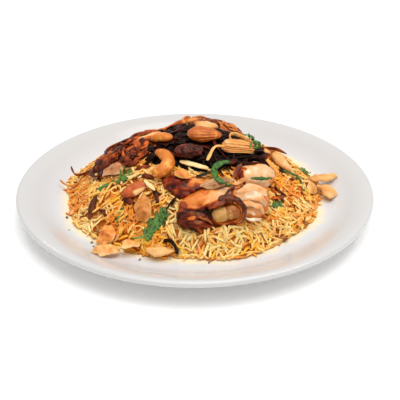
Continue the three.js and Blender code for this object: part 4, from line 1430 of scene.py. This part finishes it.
def build_petals():
    petal = petal_finish("onion_petal", rgb(242, 176, 98), rgb(222, 128, 50), rgb(250, 214, 156))
    orange = petal_finish("onion_stewed", rgb(236, 150, 62), rgb(206, 98, 28), rgb(248, 190, 108))
    centre = petal_finish("onion_soaked", rgb(206, 128, 46), rgb(166, 74, 22), rgb(230, 172, 94))
    flake = petal_finish("meat_flake", rgb(198, 128, 74), rgb(148, 72, 34), rgb(224, 178, 128))
    clear = petal_finish("onion_clear", rgb(194, 138, 88), rgb(140, 84, 46), rgb(226, 188, 142), lined=0.4)
    chip = petal_finish("nut_chip", rgb(236, 174, 98), rgb(216, 134, 62), rgb(250, 208, 144))
    # Each piece's finish, slot, yaw, ruffle, raggedness and thickness as a share of its solid's.
    plans = [
        ("petal_centre", centre, "gold_onion", -94, 2.2, 0.26, 0.6),
        ("petal_front_left", orange, "gold_onion", 75, 2.4, 0.28, 0.8),
        ("petal_front_edge", petal, "gold_onion", 15, 2.2, 0.28, 0.8),
        ("petal_front_low", petal, "gold_onion", 12, 1.8, 0.25, 0.8),
        ("petal_right", chip, "gold_onion", 75, 1.8, 0.25, 0.8),
        ("cashew_right_low", chip, "pale_nut", 0, 1.9, 0.2, 0.8),
        ("cashew_right_high", chip, "pale_nut", 0, 1.7, 0.2, 0.8),
        ("almond_front", chip, "pale_nut", 4, 1.8, 0.2, 0.9),
        ("flake_left", flake, "chicken_meat", -24, 1.4, 0.25, 0.6),
        ("flake_mid", orange, "chicken_meat", -30, 1.2, 0.25, 0.7),
        ("onion_slice", clear, "gold_onion", 22, 1.0, 0.2, 0.45),
    ]
    for seed, plan in enumerate(plans):
        build_soft(*plan, seed)


def build_strips(settings):
    gold = onion_finish("onion_gold", rgb(196, 104, 40), settings.gold, rgb(252, 206, 136), gloss=0.3)
    red = onion_finish("onion_brown", rgb(70, 24, 10), rgb(158, 68, 26), rgb(232, 136, 64), gloss=0.3)
    black = onion_finish("onion_burnt", rgb(16, 9, 8), rgb(40, 19, 15), rgb(84, 36, 24), gloss=0.2)
    fruit = onion_finish("raisin_skin", rgb(26, 9, 10), rgb(86, 26, 22), rgb(200, 90, 48), gloss=0.14)
    # Each strip's finish, slot and shade.
    plans = [
        ("onion_bent", gold, "gold_onion", 0.66),
        ("onion_loop", gold, "gold_onion", 0.7),
        ("onion_gold_right", gold, "gold_onion", 0.45),
        ("onion_tip", gold, "gold_onion", 0.35),
        ("onion_curl", red, "red_onion", 0.4),
        ("onion_dark_left", red, "red_onion", 0.12),
        ("strip_brown", red, "red_onion", 0.6),
        ("strip_red", red, "almond_skin", 0.7),
        ("onion_black_front", black, "dark_onion", 0.2),
        ("onion_dark_mid", black, "dark_onion", 0.25),
        ("onion_purple", black, "dark_onion", 0.5),
        ("raisin", fruit, "dark_onion", 0.42),
    ]
    for seed, (node, finish, slot, tone) in enumerate(plans):
        mesh = rounded_solid(node)
        points = points_of(mesh)
        wrinkle = 1.3 if node == "raisin" else 0.4
        crease = folds(points * np.array([0.6, 1, 1]), 3.0, seed)
        push_out(mesh, wrinkle * (0.6 * cloud(points, 3.2, seed) + 0.6 * (crease - 0.4)))
        # The shade follows the wrinkles: painted light on their crests and painted shade in their troughs.
        shade = tone + 0.35 * cloud(points, 8, seed) + 0.3 * wrinkle * (crease - 0.5)
        set_attributes(mesh, {"shade": np.clip(shade, 0, 1)})
        add_piece(node + "_fried", mesh, finish, slot, node)


# ------------------------ the herbs

# Each sprig's stalk, as points of the plan or in space, then the length and width of its blades, its number
# of fans, its height over the dish and the stalk's width.
SPRIGS = {
    "coriander_front": (
        [(-45, -79), (-36.5, -78), (-32, -74), (-27, -69.5), (-22.5, -66.5)],
        *(6.4, 2.8, 6, 1.4, 0.7),
    ),
    "coriander_left_high": ([(-61.4, -26), (-55.7, -29), (-51.3, -25)], 4.6, 2.1, 4, 1.0, 0.5),
    "coriander_left": ([(-76, -22), (-69.6, -25.5), (-63.9, -26)], 3.2, 1.6, 3, 0.8, 1.1),
    "coriander_sprig": ([(-57.5, -60), (-55.5, -56.5), (-53.4, -53)], 2.2, 0.9, 2, 0.8, 0.8),
    "coriander_mid": (
        [(41, -41, 47), (46, -40, 46.3), (51, -38.5, 45.3), (56, -34, 43)],
        *(2.2, 1.5, 2, 0.4, 1.5),
    ),
    "coriander_stem": (
        [(67.7, -6, 35.5), (74.3, -3, 32.6), (79.9, -3, 29.2), (84.4, 0, 23.5), (84.6, -9, 19.6)],
        *(2.2, 1.5, 2, 0.4, 1.2),
    ),
    "coriander_right": ([(84, 13), (88, 18), (91, 22)], 4.2, 1.8, 4, 2.6, 0.6),
    "coriander_shoulder": ([(42, -10), (44, -3), (46.5, 4), (50, 9)], 4.0, 1.8, 6, 1.2, 0.6),
    "coriander_top": ([(38, 10), (40, 14), (45, 14.5), (46.5, 11), (43, 8.5)], 2.0, 1.4, 5, 2.6, 1.0),
    "coriander_low_right": ([(54, -49), (59.4, -45), (64, -42)], 3.2, 1.8, 4, 0.8, 0.5),
    "coriander_curl": (
        [(28, -26, 53), (22, -27.5, 54), (16, -31, 53.5), (13.5, -38, 52)]
        + [(15, -47, 52), (17.5, -54, 51.5), (24, -57, 50.5)],
        *(2.4, 1.6, 3, 0.5, 2.6),
    ),
    "coriander_back": ([(-8, 71), (-9, 79), (-7, 88)], 6.0, 2.0, 6, 1.2, 0.6),
}

# How the blades of a fan are turned from the stalk, at its tip and along it.
TIP_FAN = (-1.3, -0.8, -0.3, 0.3, 0.8, 1.3)
SIDE_FAN = (-1.4, -0.9, -0.45, 0.45, 0.9, 1.4)
BLADE_STEPS = 13


def laid_down(plan, tree, lift):
    """Points of the plan put down onto the dish, with a lift over it."""
    heights = mound_height(plan[:, 0], plan[:, 1]) + 2
    for k, (x, y) in enumerate(plan):
        hit = tree.ray_cast(Vector((x, y, 120)), Vector((0, 0, -1)))[0]
        if hit is not None:
            heights[k] = max(heights[k], hit.z)
    return np.column_stack([plan, np.maximum(heights, np.median(heights) - 2.5) + lift])


def build_sprig(node, settings, finish, tree, seed):
    """A feathery sprig: narrow toothed blades in fans along a stalk."""
    random = np.random.default_rng(SPRIG_SEED + seed)
    line, blade, wide, fans, over, stem = SPRIGS[node]
    t = np.linspace(0, 1, BLADE_STEPS)
    full = np.sin(math.pi * t)
    stalk = smooth_line(line, BLADE_STEPS)
    free = len(line[0]) == 3
    if not free:
        stalk = laid_down(stalk, tree, over * (0.7 + 0.5 * full))
    leafy = stem > 1
    stalk_width = stem * (0.5 + 0.5 * full) * (1 + 0.15 * np.sin(26 * t)) if leafy else stem * (1.2 - 0.5 * t)
    paths, widths = [stalk], [stalk_width]
    ahead = np.gradient(stalk[:, :2], axis=0)
    for fan in range(fans):
        at = 0.2 + 0.8 * (fan + 1) / fans
        k = min(BLADE_STEPS - 1, int(at * (BLADE_STEPS - 1)))
        facing = math.atan2(ahead[k][1], ahead[k][0])
        for turn in TIP_FAN if fan == fans - 1 else SIDE_FAN:
            angle = facing + turn + random.normal(0, 0.16)
            long = blade * random.uniform(0.65, 1.15)
            heading = angle + random.normal(0, 0.5) * t
            steps = np.column_stack([np.cos(heading), np.sin(heading)]) * long / BLADE_STEPS
            plan = stalk[k, :2] + np.cumsum(steps, axis=0)
            rise = over * random.uniform(0.6, 1.5) + random.normal(0.3, 0.6) * t**2
            in_space = np.column_stack([plan, stalk[k, 2] + rise - 0.5])
            paths.append(in_space if free else laid_down(plan, tree, rise))
            toothed = 1 + 0.36 * np.sin(random.uniform(18, 24) * t + random.uniform(0, TAU))
            shape = np.sin(math.pi * t**0.8) * toothed
            widths.append(np.maximum(0.02, wide / 2 * shape * random.uniform(0.75, 1.25)))
    paths, half = np.array(paths), np.array(widths)
    ups = mound_normal(paths[..., 0], paths[..., 1])
    lean = random.normal(0, 0.35, len(paths))[:, None]
    sway = np.stack([np.sin(5 * lean), np.cos(7 * lean), 0 * lean], -1)
    ups = unit(ups + 0.5 * sway * np.abs(lean)[..., None])
    thick = np.minimum(half, settings.thickness / MM / 2)
    points, quads, triangles, item, share = swept(paths, half, thick, ups, sides=6)
    blades = 0.15 + 0.5 * random.uniform(0, 1, len(paths))[item] * (1 - share)
    vein = np.where(item == 0, 0.1 if leafy else 0.5, blades)
    mesh = mesh_of(node + "_sprig", points, quads, triangles, {"vein": vein})
    add_piece(node + "_sprig", mesh, finish, "coriander", node)


def build_herbs(settings):
    finish = leaf_finish(settings)
    made = [thing for thing in bpy.data.objects if thing.type == "MESH" and thing.name not in NODES]
    tree = tree_of([thing.data for thing in made if not thing.name.startswith(("grains", "plate", "rice"))])
    for seed, node in enumerate(SPRIGS):
        build_sprig(node, settings, finish, tree, seed)


# ------------------------ the crumbs


def lump(random, middle, size, squash=0.7):
    """The points and the 80 triangles of a small uneven lump."""
    work = bmesh.new()
    bmesh.ops.create_icosphere(work, subdivisions=2, radius=1.0)
    points = np.array([tuple(v.co) for v in work.verts])
    triangles = np.array([[v.index for v in f.verts] for f in work.faces])
    work.free()
    stretch = np.array([random.uniform(0.8, 1.5), random.uniform(0.7, 1.1), squash])
    bumpy = 1 + 0.3 * cloud(points, 0.9, random.uniform(0, 50))
    x, y, z = (points * bumpy[:, None] * stretch * size / 2).T
    x, y = turned(x, y, random.uniform(0, TAU))
    return np.column_stack([x, y, z]) + np.array(middle), triangles


def add_lumps(name, lumps, finish, slot):
    """One piece of many lumps."""
    each = len(lumps[0][0])
    points = np.concatenate([points for points, _ in lumps])
    triangles = np.concatenate([triangles + k * each for k, (_, triangles) in enumerate(lumps)])
    add_piece(name, mesh_of(name, points, (), triangles), finish, slot)


def build_crumbs(settings):
    random = np.random.default_rng(CRUMB_SEED)
    specks = [lump(random, (x, y, FLOOR_Z + size * 0.3), size) for x, y, size in PLATE_SPECKS]
    hard = solids_tree([name for name in NODES if name not in BARE])
    crumbs = []
    while len(crumbs) < settings.crumbs:
        angle, share = random.uniform(0, TAU), math.sqrt(random.uniform(0.1, 1))
        x, y = mound_point(share, angle)
        z = float(mound_height(x, y)) + 1.9
        if depth_in(hard, (x, y, z)) < -1.5:
            crumbs.append(lump(random, (x, y, z), random.uniform(1.0, 2.4), 0.6))
    for x, y, size in BROWN_LUMPS:
        z = max(float(mound_height(x, y)), FLOOR_Z) + size * 0.5 + 0.4
        for _ in range(3):
            shift_x, shift_y = random.normal(0, size * 0.28, 2)
            crumbs.append(lump(random, (x + shift_x, y + shift_y, z), size * random.uniform(0.8, 1.2), 0.75))
    herb = crumb_finish("herb_specks", rgb(84, 78, 52), rgb(150, 140, 100))
    brown = crumb_finish("fried_crumbs", rgb(96, 46, 18), rgb(206, 128, 56))
    add_lumps("herb_specks", specks, herb, "coriander")
    add_lumps("fried_crumbs", crumbs, brown, "red_onion")


# ------------------------ the stage

# The lamps as (name, place, size, share of the settings' power), all aimed at the dish. Places are in metres.
LAMPS = [
    ("soft_box", (0.12, -0.14, 1.14), 1.15, 1.0),
    ("glint_left", (-0.5, 0.65, 0.8), 0.1, 0.04),
    ("glint_right", (0.55, 0.1, 0.85), 0.1, 0.05),
]
FLOOR_REACH = 6000.0
CAMERA_PLACE = (0.003996, -0.63365, 0.35803)
CAMERA_TILT = 29.062  # degrees that it looks down
CAMERA_LENS, CAMERA_SENSOR = 81.717, 36


def build_stage(settings):
    scene = bpy.context.scene
    finish = Finish("pale_floor")
    tone = finish.mix(finish.noise(400, detail=2), settings.floor, dimmed(settings.floor, 0.99))
    rough = 0.9 + 0.05 * finish.noise(60)
    material = finish.surface(tone, rough, finish.noise(20), depth=0.02, shine=0.1, glow=0.12)
    corners = FLOOR_REACH * np.array([(-1, -1, 0), (1, -1, 0), (1, 1, 0), (-1, 1, 0)])
    floor = bpy.data.objects.new("floor", mesh_of("floor", corners, [range(4)], ()))
    floor.data.materials.append(material)
    scene.collection.objects.link(floor)

    world = bpy.data.worlds.new("soft_light")
    world.use_nodes = True
    background = world.node_tree.nodes["Background"]
    background.inputs["Color"].default_value = (1, 1, 1, 1)
    background.inputs["Strength"].default_value = settings.sky_strength
    scene.world = world

    for name, place, size, share in LAMPS:
        lamp = bpy.data.lights.new(name, "AREA")
        lamp.size = size
        lamp.energy = settings.lamp_power * share
        holder = bpy.data.objects.new(name, lamp)
        holder.location = place
        holder.rotation_euler = (-Vector(place)).to_track_quat("-Z", "Y").to_euler()
        scene.collection.objects.link(holder)

    view = bpy.data.cameras.new("front_view")
    view.sensor_width = CAMERA_SENSOR
    view.lens = CAMERA_LENS
    camera = bpy.data.objects.new("front_view", view)
    camera.location = CAMERA_PLACE
    camera.rotation_euler = (math.radians(90 - CAMERA_TILT), 0, 0)
    scene.collection.objects.link(camera)
    scene.camera = camera
    scene.view_settings.view_transform = "Standard"


# ------------------------ operators and panel


class BIRYANI_OT_plate(bpy.types.Operator):
    """Make the round glazed plate with its rolled rim"""

    bl_idname = "biryani.plate"
    bl_label = "Plate"

    def execute(self, context):
        build_plate(context.scene.biryani_plate)
        return {"FINISHED"}


class BIRYANI_OT_rice(bpy.types.Operator):
    """Lay the grains of rice over their mound"""

    bl_idname = "biryani.rice"
    bl_label = "Rice"

    def execute(self, context):
        build_rice(context.scene.biryani_rice)
        return {"FINISHED"}


class BIRYANI_OT_onions(bpy.types.Operator):
    """Heap the fried onion strands"""

    bl_idname = "biryani.onions"
    bl_label = "Onion heaps"

    def execute(self, context):
        build_onions(context.scene.biryani_onions)
        return {"FINISHED"}


class BIRYANI_OT_strips(bpy.types.Operator):
    """Make the single strips of onion and the raisin"""

    bl_idname = "biryani.strips"
    bl_label = "Onion strips"

    def execute(self, context):
        build_strips(context.scene.biryani_onions)
        return {"FINISHED"}


class BIRYANI_OT_petals(bpy.types.Operator):
    """Make the soft onion petals and flakes of meat"""

    bl_idname = "biryani.petals"
    bl_label = "Petals and flakes"

    def execute(self, context):
        build_petals()
        return {"FINISHED"}


class BIRYANI_OT_chicken(bpy.types.Operator):
    """Make the chicken with its skin, torn flesh and bone"""

    bl_idname = "biryani.chicken"
    bl_label = "Chicken"

    def execute(self, context):
        build_chicken(context.scene.biryani_chicken)
        return {"FINISHED"}


class BIRYANI_OT_nuts(bpy.types.Operator):
    """Make the cashews, almonds and slivers"""

    bl_idname = "biryani.nuts"
    bl_label = "Nuts"

    def execute(self, context):
        build_nuts(context.scene.biryani_nuts)
        return {"FINISHED"}


class BIRYANI_OT_herbs(bpy.types.Operator):
    """Make the sprigs of coriander"""

    bl_idname = "biryani.herbs"
    bl_label = "Coriander"

    def execute(self, context):
        build_herbs(context.scene.biryani_herbs)
        return {"FINISHED"}


class BIRYANI_OT_crumbs(bpy.types.Operator):
    """Scatter the crumbs and specks"""

    bl_idname = "biryani.crumbs"
    bl_label = "Crumbs"

    def execute(self, context):
        build_crumbs(context.scene.biryani_onions)
        return {"FINISHED"}


class BIRYANI_OT_stage(bpy.types.Operator):
    """Set up the pale floor, the soft light and the camera"""

    bl_idname = "biryani.stage"
    bl_label = "Stage"

    def execute(self, context):
        build_stage(context.scene.biryani_stage)
        return {"FINISHED"}


SETTINGS = {
    "biryani_plate": PlateSettings,
    "biryani_rice": RiceSettings,
    "biryani_onions": OnionSettings,
    "biryani_chicken": ChickenSettings,
    "biryani_nuts": NutSettings,
    "biryani_herbs": HerbSettings,
    "biryani_stage": StageSettings,
}

OPERATORS = (
    BIRYANI_OT_plate,
    BIRYANI_OT_rice,
    BIRYANI_OT_onions,
    BIRYANI_OT_strips,
    BIRYANI_OT_petals,
    BIRYANI_OT_chicken,
    BIRYANI_OT_nuts,
    BIRYANI_OT_herbs,
    BIRYANI_OT_crumbs,
    BIRYANI_OT_stage,
)


class BIRYANI_PT_dish(bpy.types.Panel):
    """The parts of the dish and their settings"""

    bl_idname = "BIRYANI_PT_dish"
    bl_label = "Chicken biryani"
    bl_space_type = "VIEW_3D"
    bl_region_type = "UI"
    bl_category = "Biryani"

    def draw(self, context):
        for operator in OPERATORS:
            self.layout.operator(operator.bl_idname)
        for name, group in SETTINGS.items():
            box = self.layout.box()
            for field in group.__annotations__:
                box.prop(getattr(context.scene, name), field)


def register():
    for group in (*SETTINGS.values(), *OPERATORS, BIRYANI_PT_dish):
        bpy.utils.register_class(group)
    for name, group in SETTINGS.items():
        setattr(bpy.types.Scene, name, bpy.props.PointerProperty(type=group))


def unregister():
    for name in SETTINGS:
        delattr(bpy.types.Scene, name)
    for group in reversed((*SETTINGS.values(), *OPERATORS, BIRYANI_PT_dish)):
        bpy.utils.unregister_class(group)


def main():
    register()
    bpy.ops.biryani.plate()
    bpy.ops.biryani.rice()
    bpy.ops.biryani.onions()
    bpy.ops.biryani.strips()
    bpy.ops.biryani.petals()
    bpy.ops.biryani.chicken()
    bpy.ops.biryani.nuts()
    bpy.ops.biryani.herbs()
    bpy.ops.biryani.crumbs()
    bpy.ops.biryani.stage()


if __name__ == "__main__":
    main()
